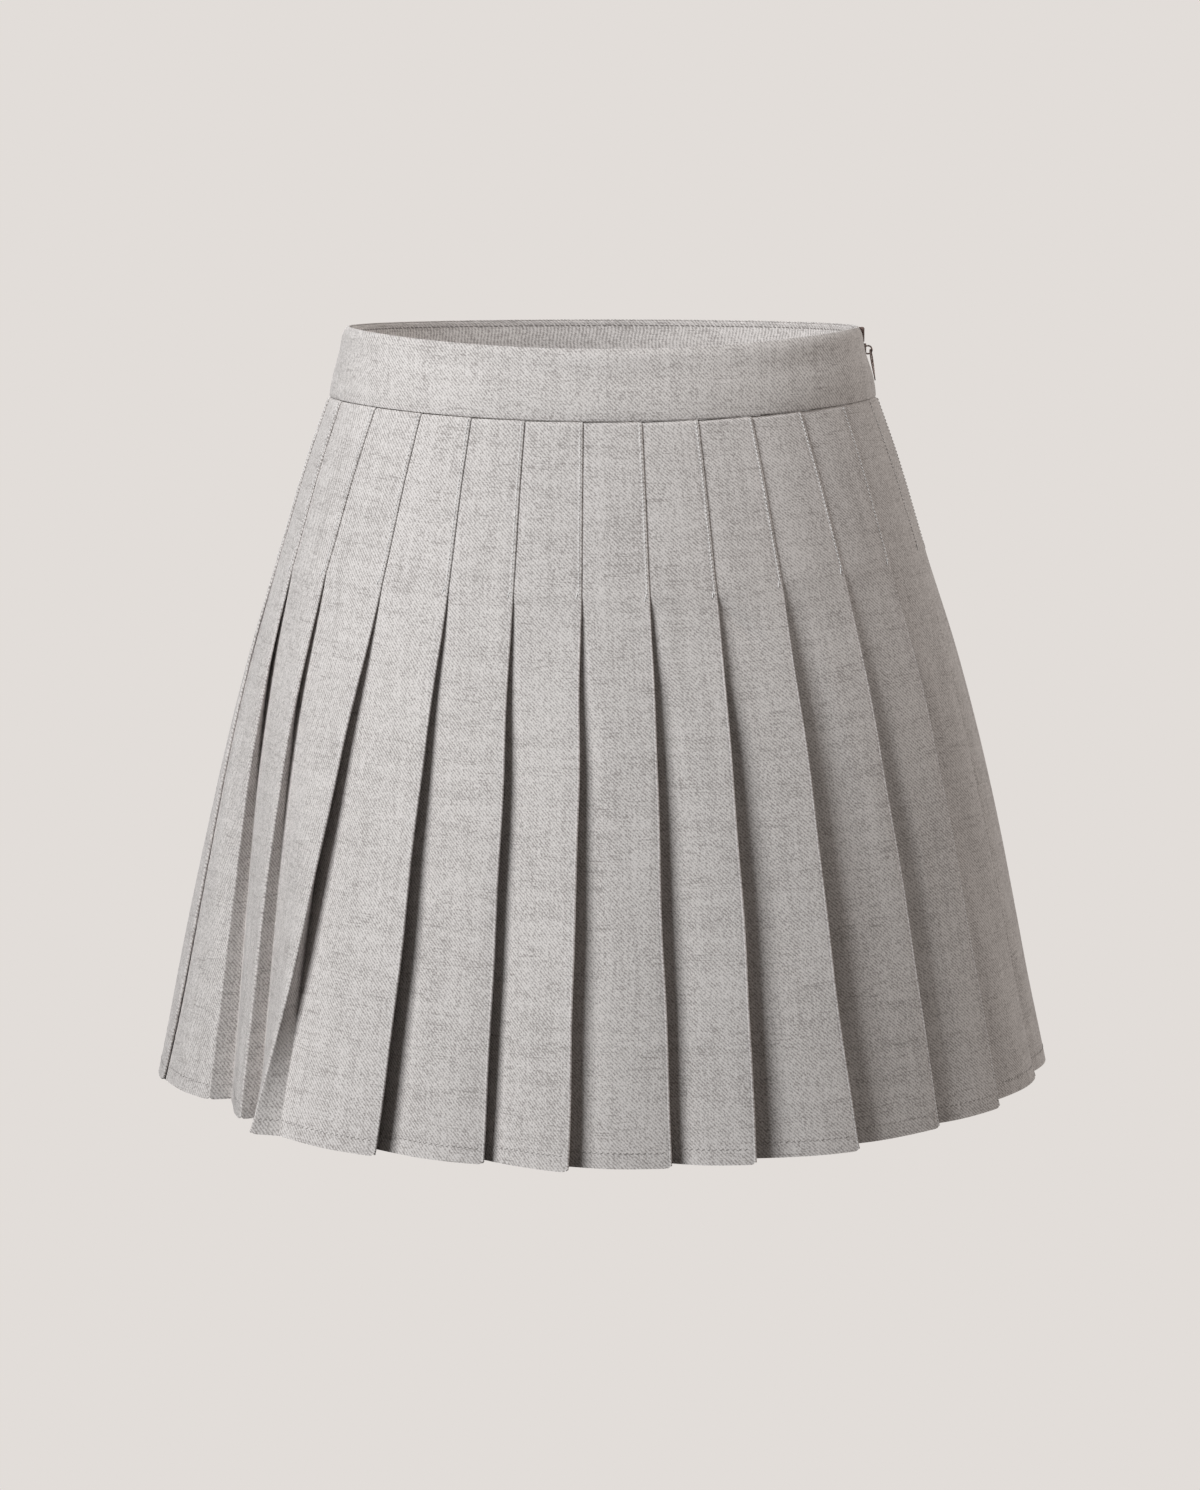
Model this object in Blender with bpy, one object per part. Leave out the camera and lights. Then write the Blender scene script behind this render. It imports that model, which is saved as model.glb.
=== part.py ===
"""Pleated mini skirt with a shaped waistband, 27 one-way knife pleats and a zip at the side.

The skirt keeps the hollow shape that it has when it is worn. The origin is the middle of the
waist opening, the front faces -Y and +Z is up. Every level of the skirt is an ellipse round the
body. A place on it is given by its arc length, counted from the front towards +X, and by how far
it lies outside the ellipse. The cloth runs along the ellipse like a belt round pairs of pins:
over the crest pin of a pleat, back under the panel, round the valley pin and on to the next crest.
"""
import math

import bmesh
import bpy
import numpy as np
from mathutils import Vector

MM = 0.001

# Cloth
CLOTH_THICKNESS = 1.0 * MM
LAYER_GAP = 0.35 * MM           # air between the layers of a closed pleat
SEAM_GAP = 0.3 * MM             # between pieces that are sewn together
PIN_RADIUS = (CLOTH_THICKNESS + LAYER_GAP) / 2
PLEAT_CLOTH = 72 * MM           # cloth that one pleat takes, showing and folded under

# Levels below the waist
BAND_BOTTOM = -34.7 * MM
SKIRT_TOP = BAND_BOTTOM - SEAM_GAP
HEM = -374.5 * MM
SKIRT_LEVELS_MM = (-35.0, -75.0, -109.0, -119.0, -136.0, -175.0, -235.0, -305.0, -374.5)

# Outer surface in mm. The front dips below the level of the sides.
RING_COLUMNS = ("level", "half_width", "half_depth", "front_dip")
BAND_RINGS = (
    (0.0, 127.6, 93.6, 7.7),
    (-3.6, 129.7, 96.3, 7.6),
    (-12.0, 131.5, 99.2, 7.4),
    (-22.0, 134.6, 103.6, 7.1),
    (-30.0, 136.3, 106.2, 7.0),
    (-34.7, 136.9, 107.0, 6.9),
)
SKIRT_RINGS = (
    (-35.0, 137.4, 107.2, 6.9),
    (-64.0, 147.8, 117.7, 9.0),
    (-113.0, 163.0, 133.8, 11.4),
    (-165.0, 180.0, 150.0, 11.3),
    (-228.5, 197.0, 166.3, 11.1),
    (-300.0, 212.7, 181.0, 10.8),
    (-374.5, 227.9, 194.5, 10.5),
)

# Pleats, named round the skirt from the left side across the front. Angles in degrees place the
# crest on its ring at the waist seam, at the end of the stitching, half-way from there to the hem,
# and at the hem. Then, in mm, how far it is stitched down below the seam, how far its hem stands
# out of the ring, and where the valley behind it lies at the hem, along the ring from the crest and
# inwards. Powers below 1 slide the valley out and sink it sooner below the stitching. The valley
# lies deeper than that half-way down by the next value, in mm, and the panel before the crest bows
# out by the last one at the hem.
PLEAT_COLUMNS = ("name", "seam", "stitched", "middle", "hem", "stitch_drop", "hem_out",
                 "valley_along", "valley_inset", "slide_power", "sink_power", "middle_sink",
                 "panel_bow")
PLEATS = (
    ("U", -85.5, -84.5, -75.2, -76.1, 80.0, 0.0, -5.0, 1.8, 0.6, 0.6, 0.0, 4.5),
    ("V", -70.5, -69.6, -64.8, -62.9, 82.0, -10.0, 3.5, 20.5, 0.55, 0.85, -1.0, 2.0),
    ("W", -54.0, -56.0, -53.9, -51.8, 79.5, -4.5, 3.0, 13.5, 0.41, 0.73, 0.0, 0.0),
    ("X", -39.8, -40.7, -42.0, -45.6, 78.0, 8.5, 11.0, -1.5, 2.5, 0.6, 8.0, 0.0),
    ("Y", -27.4, -27.0, -26.9, -27.8, 78.0, 3.0, -6.0, 9.0, 0.6, 0.6, 3.0, 1.5),
    ("Z", -15.8, -15.2, -14.4, -14.5, 77.5, -4.5, -6.0, 15.0, 0.6, 0.6, 2.5, 1.5),
    ("A", -4.0, -3.6, -3.6, -4.1, 76.5, 2.5, -6.0, 9.5, 0.6, 0.6, 2.5, 1.0),
    ("B", 7.7, 7.8, 7.9, 8.2, 78.0, -3.0, -6.0, 15.5, 0.6, 0.5, 2.5, 1.5),
    ("C", 19.3, 19.4, 18.9, 18.4, 78.0, 1.0, -6.0, 13.0, 0.6, 0.5, 4.0, 1.5),
    ("D", 31.3, 31.9, 31.1, 32.0, 76.0, 1.5, -6.0, 13.5, 0.6, 0.5, 4.0, 1.5),
    ("E", 44.2, 45.9, 45.7, 46.6, 74.5, -4.5, -7.0, 15.5, 0.6, 0.6, 3.5, 2.0),
    ("F", 59.1, 59.8, 59.1, 59.4, 75.0, -2.0, -7.0, 14.5, 0.6, 0.6, 3.0, 2.5),
    ("G", 74.0, 76.0, 73.5, 77.4, 73.5, -4.5, -7.0, 14.5, 0.6, 0.6, 2.5, 3.0),
    ("H", 87.4, 90.5, 92.5, 96.0, 76.0, 0.0, -6.0, 12.0, 0.6, 0.6, 0.0, 4.5),
    ("I", 102.0, 105.0, 107.5, 109.5, 77.0, -3.0, -5.0, 14.0, 0.6, 0.6, 1.5, 2.5),
    ("J", 117.0, 119.3, 120.0, 121.5, 78.5, 2.0, -6.0, 11.0, 0.6, 0.6, 1.5, 3.0),
    ("K", 131.6, 133.2, 135.5, 136.5, 76.0, -2.0, -6.0, 12.5, 0.6, 0.6, 1.5, 2.0),
    ("L", 145.3, 146.6, 147.0, 148.5, 79.0, 3.0, -5.0, 10.5, 0.5, 0.5, 1.5, 2.5),
    ("M", 158.2, 159.4, 161.5, 163.0, 77.5, -4.0, -6.5, 14.5, 0.6, 0.6, 1.5, 1.5),
    ("N", 170.4, 171.7, 172.0, 173.5, 76.5, 1.0, -6.0, 11.5, 0.6, 0.6, 1.5, 2.0),
    ("O", 182.2, 183.7, 186.0, 187.5, 78.0, 2.5, -5.5, 10.5, 0.6, 0.6, 1.5, 1.5),
    ("P", 194.0, 195.8, 197.0, 199.5, 79.5, -3.5, -6.0, 14.0, 0.6, 0.6, 1.5, 2.0),
    ("Q", 206.2, 208.2, 210.5, 211.0, 77.0, 1.5, -6.0, 11.0, 0.5, 0.5, 1.5, 1.5),
    ("R", 219.1, 221.2, 223.0, 226.0, 75.5, 3.0, -5.5, 10.0, 0.6, 0.6, 1.5, 2.5),
    ("S", 232.5, 234.6, 237.0, 238.0, 78.0, -3.0, -6.0, 13.5, 0.6, 0.6, 1.5, 2.0),
    ("T", 246.3, 248.0, 251.0, 253.5, 79.0, 2.0, -6.0, 11.0, 0.6, 0.6, 1.5, 3.0),
    ("TT", 260.4, 261.5, 264.0, 266.5, 78.5, -1.0, -6.0, 12.5, 0.6, 0.6, 1.5, 3.5),
)
LAST_FRONT_PLEAT = 13           # H, whose valley holds the side seam on the right

# How a pleat opens from the end of its stitching (0) to the hem (1)
OUT_POWER = 1.3
CREST_STEPS = 3
VALLEY_STEPS = 2
PANEL_STEPS = 4

# Waistband and facing
BAND_THICKNESS = 1.1 * MM
FACING_THICKNESS = 1.0 * MM
FACING_ROWS = ((-0.8, 1.4), (-6.0, 2.4), (-20.0, 3.0), (-34.4, 4.6))      # level, depth in mm
BAND_COLUMNS = 48
LEFT_SEAM = -90.0               # degrees
ZIP_PLACE = 90.0
ZIP_GAP = 3.0 * MM              # between the two ends of the waistband

# Zip
TAPE_WIDTH = 10.5 * MM
TAPE_THICKNESS = 0.8 * MM
TAPE_ROWS = ((-1.5, 1.5), (-15.0, 1.7), (-33.5, 6.1), (-70.0, 6.2), (-112.0, 6.1), (-140.0, 7.6),
             (-165.0, 8.8))                                                # level, depth in mm
COIL_TOP = -15.6 * MM
COIL_BOTTOM = -162.0 * MM
COIL_HALF_WIDTH = 1.2 * MM
COIL_THICKNESS = 1.6 * MM
COIL_BULGE = 0.3 * MM
TOP_END_Z = (-8.5 * MM, -0.6 * MM)
TOP_END_HALF_WIDTH = 1.2 * MM
TOP_END_PROUD = 1.1 * MM
TOP_END_DEPTH = 2.4 * MM
TOP_END_CORNER = 0.9 * MM
SLIDER_Z = (-15.2 * MM, -8.8 * MM)
SLIDER_HALF_WIDTH = 1.15 * MM
SLIDER_PROUD = 0.5 * MM
SLIDER_DEPTH = 2.2 * MM
SLIDER_CORNER = 0.35 * MM
BRIDGE_RADIUS = 2.0 * MM        # centre line of the wire bridge on the slider
BRIDGE_WIRE = 0.4 * MM          # wire radius
BRIDGE_STAND = 0.9 * MM         # centre of the bridge outside the slider's face
BRIDGE_STEPS = 14
BRIDGE_SIDES = 8
BRIDGE_REACH = 118.0            # degrees each way from straight out, where the wire is inside the body
HANG_ANGLE = 45.0               # degrees below straight out, where the pull hangs on the bridge
PULL_LEAN = 9.5                 # degrees outwards from straight down, against the waistband
PULL_TWIST = 14.0               # degrees towards the front, about its own length
PULL_LENGTH = 16.0 * MM
PULL_HALF_WIDTH = 3.25 * MM
PULL_THICKNESS = 0.6 * MM
PULL_RIM = 0.7 * MM
PULL_SLOT_LENGTH = 11.0 * MM
PULL_SLOT_HALF_WIDTH = 1.9 * MM
PULL_HANG = 1.2 * MM            # from the hinge axis up to the slot's top edge
PULL_POINTS = 28


def rows_as_columns(rows, names):
    """A table's columns by name."""
    return {name: [row[i] for row in rows] for i, name in enumerate(names)}


def smooth_value(places, values, place):
    """Value on a smooth curve through a table's rows, in falling order, that never overshoots."""
    x = [-p for p in places]
    at = min(max(-place, x[0]), x[-1])
    slopes = [(values[i + 1] - values[i]) / (x[i + 1] - x[i]) for i in range(len(x) - 1)]
    tangents = [slopes[0]]
    for before, after in zip(slopes, slopes[1:]):
        same_way = before * after > 0
        tangents.append(2 * before * after / (before + after) if same_way else 0.0)
    tangents.append(slopes[-1])
    i = max(k for k in range(len(x) - 1) if x[k] <= at)
    step = x[i + 1] - x[i]
    t = (at - x[i]) / step
    start = (1 + 2 * t) * (1 - t) ** 2 * values[i] + t * (1 - t) ** 2 * step * tangents[i]
    end = t * t * (3 - 2 * t) * values[i + 1] - t * t * (1 - t) * step * tangents[i + 1]
    return start + end


class Ring:
    """One level of the outer surface: an ellipse with its arc length counted from the front."""

    ANGLES = np.radians(np.arange(-180.0, 541.0, 0.5))

    def __init__(self, level, rows):
        columns = rows_as_columns(rows, RING_COLUMNS)
        sizes = {name: smooth_value(columns["level"], columns[name], level / MM) * MM
                 for name in RING_COLUMNS[1:]}
        self.level = level
        self.half_width = sizes["half_width"]
        self.half_depth = sizes["half_depth"]
        self.front_dip = sizes["front_dip"]
        speed = np.hypot(self.half_width * np.cos(self.ANGLES), self.half_depth * np.sin(self.ANGLES))
        steps = (speed[1:] + speed[:-1]) / 2 * np.diff(self.ANGLES)
        lengths = np.concatenate([[0.0], np.cumsum(steps)])
        self.lengths = lengths - np.interp(0.0, self.ANGLES, lengths)
        self.perimeter = self.along(360.0) - self.along(0.0)

    def along(self, degrees):
        """Arc length from the front to an angle."""
        return float(np.interp(math.radians(degrees), self.ANGLES, self.lengths))

    def point(self, along, out):
        """The point at an arc length, so far outside the ring."""
        angle = float(np.interp(along, self.lengths, self.ANGLES))
        sine, cosine = math.sin(angle), math.cos(angle)
        normal = Vector((self.half_depth * sine, -self.half_width * cosine, 0)).normalized()
        dip = self.front_dip * max(0.0, cosine) ** 2
        return Vector((self.half_width * sine, -self.half_depth * cosine, self.level - dip)) + normal * out


def between(start, end, share):
    """The value so far of the way from one to another."""
    return start + (end - start) * share


def pleat_pins(ring, index):
    """Middles of a pleat's crest pin and valley pin, as arc length and distance outwards.

    With them comes how far the panel before the crest bows out.
    """
    turns, row = divmod(index, len(PLEATS))
    pleat = dict(zip(PLEAT_COLUMNS, PLEATS[row]))
    stitch_end = SKIRT_TOP - pleat["stitch_drop"] * MM
    if ring.level > stitch_end:
        share = (SKIRT_TOP - ring.level) / (SKIRT_TOP - stitch_end)
        opening = 0.0
        degrees = between(pleat["seam"], pleat["stitched"], share)
    else:
        opening = (stitch_end - ring.level) / (stitch_end - HEM)
        straight_middle = (pleat["stitched"] + pleat["hem"]) / 2
        degrees = between(pleat["stitched"], pleat["hem"], opening)
        degrees += (pleat["middle"] - straight_middle) * 4 * opening * (1 - opening)
    pitch = ring.perimeter / len(PLEATS)
    underlay = (PLEAT_CLOTH - pitch) / 2
    closed_along = PIN_RADIUS - underlay
    closed_inset = PIN_RADIUS * (3 + 4 * underlay / pitch)
    crest_along = ring.along(degrees + 360.0 * turns)
    surface = -CLOTH_THICKNESS / 2
    crest_out = surface + pleat["hem_out"] * MM * opening ** OUT_POWER - PIN_RADIUS
    slid = opening ** pleat["slide_power"]
    sunk = opening ** pleat["sink_power"]
    valley_along = between(closed_along, pleat["valley_along"] * MM, slid)
    valley_inset = between(closed_inset, pleat["valley_inset"] * MM, sunk)
    valley_inset += pleat["middle_sink"] * MM * 4 * opening * (1 - opening)
    crest = Vector((crest_along - PIN_RADIUS, crest_out))
    valley = Vector((crest_along + valley_along, surface - valley_inset))
    return crest, valley, pleat["panel_bow"] * MM * opening


def heading(start, end, crossing):
    """Direction of the straight cloth that crosses over from one pin to the next."""
    line = end - start
    return math.atan2(line.y, line.x) + crossing * math.asin(2 * PIN_RADIUS / line.length)


def turned(angle):
    """The direction at an angle, in arc length and distance outwards."""
    return Vector((math.cos(angle), math.sin(angle)))


def arc(centre, start, sweep, steps, side):
    """Cloth round a pin: points with the normal of the cloth's face."""
    directions = [turned(start + sweep * i / steps) for i in range(steps + 1)]
    return [(centre + d * PIN_RADIUS, d * side) for d in directions]


def stretch(start, end, normal, steps, bow=0.0):
    """The inner points of a stretch of cloth between two pins, straight or bowed out."""
    shares = [i / steps for i in range(1, steps)]
    return [(start.lerp(end, t) + normal * (bow * math.sin(math.pi * t)), normal) for t in shares]


def fold_path(ring, first, last):
    """Middle of the cloth at one level, from the valley before one pleat to the end of another.

    Each point comes with the normal of the cloth's outer face.
    """
    quarter, full = math.pi / 2, 2 * math.pi
    path = []
    before = pleat_pins(ring, first - 1)[1]
    for index in range(first, last + 1):
        crest, valley, bow = pleat_pins(ring, index)
        following = pleat_pins(ring, index + 1)[0]
        panel = heading(before, crest, 1)
        back = heading(crest, valley, -1) % full
        onward = heading(valley, following, 1)
        panel_normal, back_normal = turned(panel + quarter), turned(back + quarter)
        panel_start = before - panel_normal * PIN_RADIUS
        panel_end = crest + panel_normal * PIN_RADIUS
        back_start = crest + back_normal * PIN_RADIUS
        back_end = valley - back_normal * PIN_RADIUS
        if index == first:
            path.append((panel_start, panel_normal))
        path += stretch(panel_start, panel_end, panel_normal, PANEL_STEPS, bow)
        path += arc(crest, panel + quarter, -(panel + full - back), CREST_STEPS, 1)
        path += stretch(back_start, back_end, back_normal, 2)
        if index == last:
            path.append((back_end, back_normal))
        else:
            path += arc(valley, back - quarter, onward - back + full, VALLEY_STEPS, -1)
        before = valley
    return path


def material(name, colour, roughness, metallic=0.0):
    """A plain finish from a colour, a roughness and how metallic it is."""
    made = bpy.data.materials.new(name)
    made.use_nodes = True
    shader = made.node_tree.nodes["Principled BSDF"]
    shader.inputs["Base Color"].default_value = (*colour, 1.0)
    shader.inputs["Roughness"].default_value = roughness
    shader.inputs["Metallic"].default_value = metallic
    return made


def finish_mesh(name, bm, finish, sharp_angle=50.0, origin=None):
    """Turns a bmesh into a named, shaded object whose faces point out."""
    bmesh.ops.recalc_face_normals(bm, faces=bm.faces)
    if origin is not None:
        bmesh.ops.translate(bm, verts=bm.verts, vec=-origin)
    mesh = bpy.data.meshes.new(name)
    bm.to_mesh(mesh)
    bm.free()
    mesh.shade_smooth()
    mesh.set_sharp_from_angle(angle=math.radians(sharp_angle))
    mesh.materials.append(finish)
    piece = bpy.data.objects.new(name, mesh)
    if origin is not None:
        piece.location = origin
    bpy.context.scene.collection.objects.link(piece)
    return piece


def wall(name, outer_rows, inner_rows, finish):
    """A closed wall between two grids of points that have the same rows and columns."""
    bm = bmesh.new()
    outer = [[bm.verts.new(p) for p in row] for row in outer_rows]
    inner = [[bm.verts.new(p) for p in row] for row in inner_rows]
    last_row, last_column = len(outer) - 1, len(outer[0]) - 1
    for i in range(last_row):
        for j in range(last_column):
            bm.faces.new((outer[i][j], outer[i][j + 1], outer[i + 1][j + 1], outer[i + 1][j]))
            bm.faces.new((inner[i][j], inner[i + 1][j], inner[i + 1][j + 1], inner[i][j + 1]))
    for i in (0, last_row):
        for j in range(last_column):
            bm.faces.new((outer[i][j], inner[i][j], inner[i][j + 1], outer[i][j + 1]))
    for j in (0, last_column):
        for i in range(last_row):
            bm.faces.new((outer[i][j], outer[i + 1][j], inner[i + 1][j], inner[i][j]))
    return finish_mesh(name, bm, finish)


def pleated_piece(name, first, last, finish):
    """A stretch of the pleated skirt, from one hidden side seam to the other."""
    outer_rows, inner_rows = [], []
    for level in SKIRT_LEVELS_MM:
        ring = Ring(level * MM, SKIRT_RINGS)
        path = fold_path(ring, first, last)
        half = CLOTH_THICKNESS / 2
        outer_rows.append([ring.point(*(place + normal * half)) for place, normal in path])
        inner_rows.append([ring.point(*(place - normal * half)) for place, normal in path])
    return wall(name, outer_rows, inner_rows, finish)


def band_piece(name, rows, thickness, span, columns, finish, bulge=0.0):
    """A strip that follows the waistband: rows of level and depth, between two places.

    The span holds, for each end, an angle and a distance along the ring from there.
    """
    outer_rows, inner_rows = [], []
    for level, depth in rows:
        table = BAND_RINGS if level * MM >= BAND_BOTTOM else SKIRT_RINGS
        ring = Ring(level * MM, table)
        start, end = (ring.along(degrees) + offset for degrees, offset in span)
        outer, inner = [], []
        for i in range(columns + 1):
            raised = bulge * math.sin(math.pi * i / columns)
            along = between(start, end, i / columns)
            outer.append(ring.point(along, raised - depth * MM))
            inner.append(ring.point(along, -depth * MM - thickness))
        outer_rows.append(outer)
        inner_rows.append(inner)
    return wall(name, outer_rows, inner_rows, finish)


def make_waistband(cloth):
    """Two bands that meet at the left seam and at the zip, with their facings inside."""
    half_seam, half_zip = SEAM_GAP / 2, ZIP_GAP / 2
    facing_stop = half_zip + TAPE_WIDTH + SEAM_GAP
    rows = [(row[0], 0.0) for row in BAND_RINGS]
    front = ((LEFT_SEAM, half_seam), (ZIP_PLACE, -half_zip))
    back = ((ZIP_PLACE, half_zip), (LEFT_SEAM + 360.0, -half_seam))
    band_piece("waistband_front", rows, BAND_THICKNESS, front, BAND_COLUMNS, cloth)
    band_piece("waistband_back", rows, BAND_THICKNESS, back, BAND_COLUMNS, cloth)
    front = ((LEFT_SEAM, half_seam), (ZIP_PLACE, -facing_stop))
    back = ((ZIP_PLACE, facing_stop), (LEFT_SEAM + 360.0, -half_seam))
    band_piece("waistband_facing_front", FACING_ROWS, FACING_THICKNESS, front, BAND_COLUMNS, cloth)
    band_piece("waistband_facing_back", FACING_ROWS, FACING_THICKNESS, back, BAND_COLUMNS, cloth)


def make_zip_tapes(tape):
    """The two tapes, behind the band and down inside the skirt, with the coil between them."""
    near = ZIP_GAP / 2
    far = near + TAPE_WIDTH
    front = ((ZIP_PLACE, -far), (ZIP_PLACE, -near))
    back = ((ZIP_PLACE, near), (ZIP_PLACE, far))
    band_piece("zip_tape_front", TAPE_ROWS, TAPE_THICKNESS, front, 3, tape)
    band_piece("zip_tape_back", TAPE_ROWS, TAPE_THICKNESS, back, 3, tape)
    columns = list(zip(*TAPE_ROWS))
    levels = [COIL_TOP / MM] + [row[0] for row in TAPE_ROWS[2:-1]] + [COIL_BOTTOM / MM]
    rows = [(level, smooth_value(columns[0], columns[1], level)) for level in levels]
    span = ((ZIP_PLACE, -COIL_HALF_WIDTH), (ZIP_PLACE, COIL_HALF_WIDTH))
    band_piece("zip_coil", rows, COIL_THICKNESS, span, 4, tape, bulge=COIL_BULGE)


def block(name, low, high, finish, corner, segments):
    """A block between two corners, with rounded edges."""
    bm = bmesh.new()
    bmesh.ops.create_cube(bm, size=1.0)
    size = high - low
    bmesh.ops.scale(bm, verts=bm.verts, vec=size)
    bmesh.ops.translate(bm, verts=bm.verts, vec=(low + high) / 2)
    bmesh.ops.bevel(bm, geom=bm.edges, offset=corner, segments=segments, affect="EDGES", profile=0.5)
    return finish_mesh(name, bm, finish)


def make_top_end(finish):
    """The dark end of the zip, which bulges out between the ends of the waistband."""
    surface = Ring(sum(TOP_END_Z) / 2, BAND_RINGS).half_width
    low = Vector((surface - TOP_END_DEPTH, -TOP_END_HALF_WIDTH, TOP_END_Z[0]))
    high = Vector((surface + TOP_END_PROUD, TOP_END_HALF_WIDTH, TOP_END_Z[1]))
    return block("zip_top_end", low, high, finish, TOP_END_CORNER, 3)


def bridge_centre():
    """The middle of the C that the bridge bends round."""
    surface = Ring(sum(SLIDER_Z) / 2, BAND_RINGS).half_width
    return Vector((surface + SLIDER_PROUD + BRIDGE_STAND, 0, sum(SLIDER_Z) / 2))


def make_slider(metal):
    """The slider's body with the C of wire that its pull hangs on."""
    centre = bridge_centre()
    face = centre.x - BRIDGE_STAND
    low = Vector((face - SLIDER_PROUD - SLIDER_DEPTH, -SLIDER_HALF_WIDTH, SLIDER_Z[0]))
    high = Vector((face, SLIDER_HALF_WIDTH, SLIDER_Z[1]))
    body = block("zip_slider", low, high, metal, SLIDER_CORNER, 2)
    bm = bmesh.new()
    rings = []
    for i in range(BRIDGE_STEPS + 1):
        angle = math.radians(BRIDGE_REACH * (1 - 2 * i / BRIDGE_STEPS))
        outwards = Vector((math.cos(angle), 0, math.sin(angle)))
        ring = []
        for j in range(BRIDGE_SIDES):
            around = 2 * math.pi * j / BRIDGE_SIDES
            offset = outwards * math.cos(around) + Vector((0, math.sin(around), 0))
            ring.append(bm.verts.new(centre + outwards * BRIDGE_RADIUS + offset * BRIDGE_WIRE))
        rings.append(ring)
    for ring, after in zip(rings, rings[1:]):
        for j in range(BRIDGE_SIDES):
            k = (j + 1) % BRIDGE_SIDES
            bm.faces.new((ring[j], ring[k], after[k], after[j]))
    bm.faces.new(rings[0])
    bm.faces.new(rings[-1])
    wire = finish_mesh("zip_bridge_guide", bm, metal)
    wire.hide_render = True
    wire.display_type = "WIRE"
    join = body.modifiers.new("Bridge", "BOOLEAN")
    join.operation = "UNION"
    join.solver = "EXACT"
    join.object = wire
    return body


def teardrop(length, half_width, count, lowest):
    """Outline of a drop: round at the top, narrowing to its point, from its lowest point up."""
    points = []
    for i in range(count):
        turn = 2 * math.pi * i / count
        rise = (1 - math.cos(turn)) / 2
        width = half_width * math.sin(turn) * math.sqrt(max(0.0, math.sin(math.pi * rise ** 1.6 / 2)))
        points.append(Vector((width, lowest + length * rise)))
    return points


def make_pull(metal):
    """The hanging pull: a flat drop with a drop-shaped slot, held by its top edge on the bridge."""
    hang = math.radians(HANG_ANGLE)
    pivot = bridge_centre() + Vector((math.cos(hang), 0, -math.sin(hang))) * BRIDGE_RADIUS
    lean, twist = math.radians(PULL_LEAN), math.radians(PULL_TWIST)
    upwards = Vector((-math.sin(lean), 0, math.cos(lean)))
    untwisted = Vector((math.cos(lean), 0, math.sin(lean)))
    across = Vector((0, math.cos(twist), 0)) + untwisted * math.sin(twist)
    facing = upwards.cross(across)
    top = PULL_HANG + PULL_RIM
    outline = teardrop(PULL_LENGTH, PULL_HALF_WIDTH, PULL_POINTS, top - PULL_LENGTH)
    slot = teardrop(PULL_SLOT_LENGTH, PULL_SLOT_HALF_WIDTH, PULL_POINTS, PULL_HANG - PULL_SLOT_LENGTH)
    bm = bmesh.new()
    loops = []
    for side in (0.5, -0.5):
        for shape in (outline, slot):
            loops.append([bm.verts.new(pivot + across * p.x + upwards * p.y
                                       + facing * (side * PULL_THICKNESS)) for p in shape])
    outer, hole, outer_back, hole_back = loops
    for one, other in ((outer, hole), (hole, hole_back), (hole_back, outer_back), (outer_back, outer)):
        for j in range(PULL_POINTS):
            k = (j + 1) % PULL_POINTS
            bm.faces.new((one[j], one[k], other[k], other[j]))
    return finish_mesh("zip_pull", bm, metal, origin=pivot)


def main():
    for old in list(bpy.data.objects):
        bpy.data.objects.remove(old, do_unlink=True)
    cloth = material("heather_grey_cloth", (0.52, 0.50, 0.50), 0.9)
    tape = material("zip_tape_grey", (0.40, 0.38, 0.38), 0.85)
    dark_end = material("dark_brown_end", (0.05, 0.03, 0.025), 0.6)
    metal = material("gunmetal", (0.22, 0.20, 0.19), 0.35, 1.0)
    pleated_piece("skirt_front", 1, LAST_FRONT_PLEAT, cloth)
    pleated_piece("skirt_back", LAST_FRONT_PLEAT + 1, len(PLEATS), cloth)
    make_waistband(cloth)
    make_zip_tapes(tape)
    make_top_end(dark_end)
    make_slider(metal)
    make_pull(metal)


main()
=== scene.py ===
"""Looks of the pleated mini skirt: cloth shells, stitching, zip, materials, light and camera.

The frame is in metres, with +Z up and the front of the skirt at -Y. The cloth follows the same
rings and pleats as the solids, on a finer grid, thinner, with its small creases and its stitching.
"""
from math import asin, atan2, cos, pi, radians, sin, sqrt

import bmesh
import bpy
import numpy as np
from mathutils import Euler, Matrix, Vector


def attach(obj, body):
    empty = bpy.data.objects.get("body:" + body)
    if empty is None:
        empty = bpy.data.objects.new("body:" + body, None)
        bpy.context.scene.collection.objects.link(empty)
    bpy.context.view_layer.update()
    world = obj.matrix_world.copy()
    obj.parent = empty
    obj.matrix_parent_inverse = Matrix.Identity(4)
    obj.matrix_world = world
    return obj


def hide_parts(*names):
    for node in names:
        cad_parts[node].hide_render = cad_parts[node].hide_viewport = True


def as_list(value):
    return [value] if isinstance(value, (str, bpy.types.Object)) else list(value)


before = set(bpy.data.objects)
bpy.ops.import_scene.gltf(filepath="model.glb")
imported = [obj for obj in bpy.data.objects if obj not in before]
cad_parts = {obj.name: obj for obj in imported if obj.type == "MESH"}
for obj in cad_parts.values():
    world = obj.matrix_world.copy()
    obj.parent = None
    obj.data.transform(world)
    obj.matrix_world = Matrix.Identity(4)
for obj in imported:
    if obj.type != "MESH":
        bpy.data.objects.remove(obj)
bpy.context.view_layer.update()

MM = 0.001
BODY = "skirt"

# Cloth
CLOTH_THICKNESS = 0.6 * MM
STITCHED_GAP = 0.06 * MM  # air between layers where the pleats are stitched down
OPEN_GAP = 0.35 * MM  # and from a third of the way between there and the hem
PLEAT_CLOTH = 72 * MM  # cloth that one pleat takes

# Levels below the waist in mm
BAND_BOTTOM = -34.7
SKIRT_TOP = -35.0
HEM = -374.5

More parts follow.
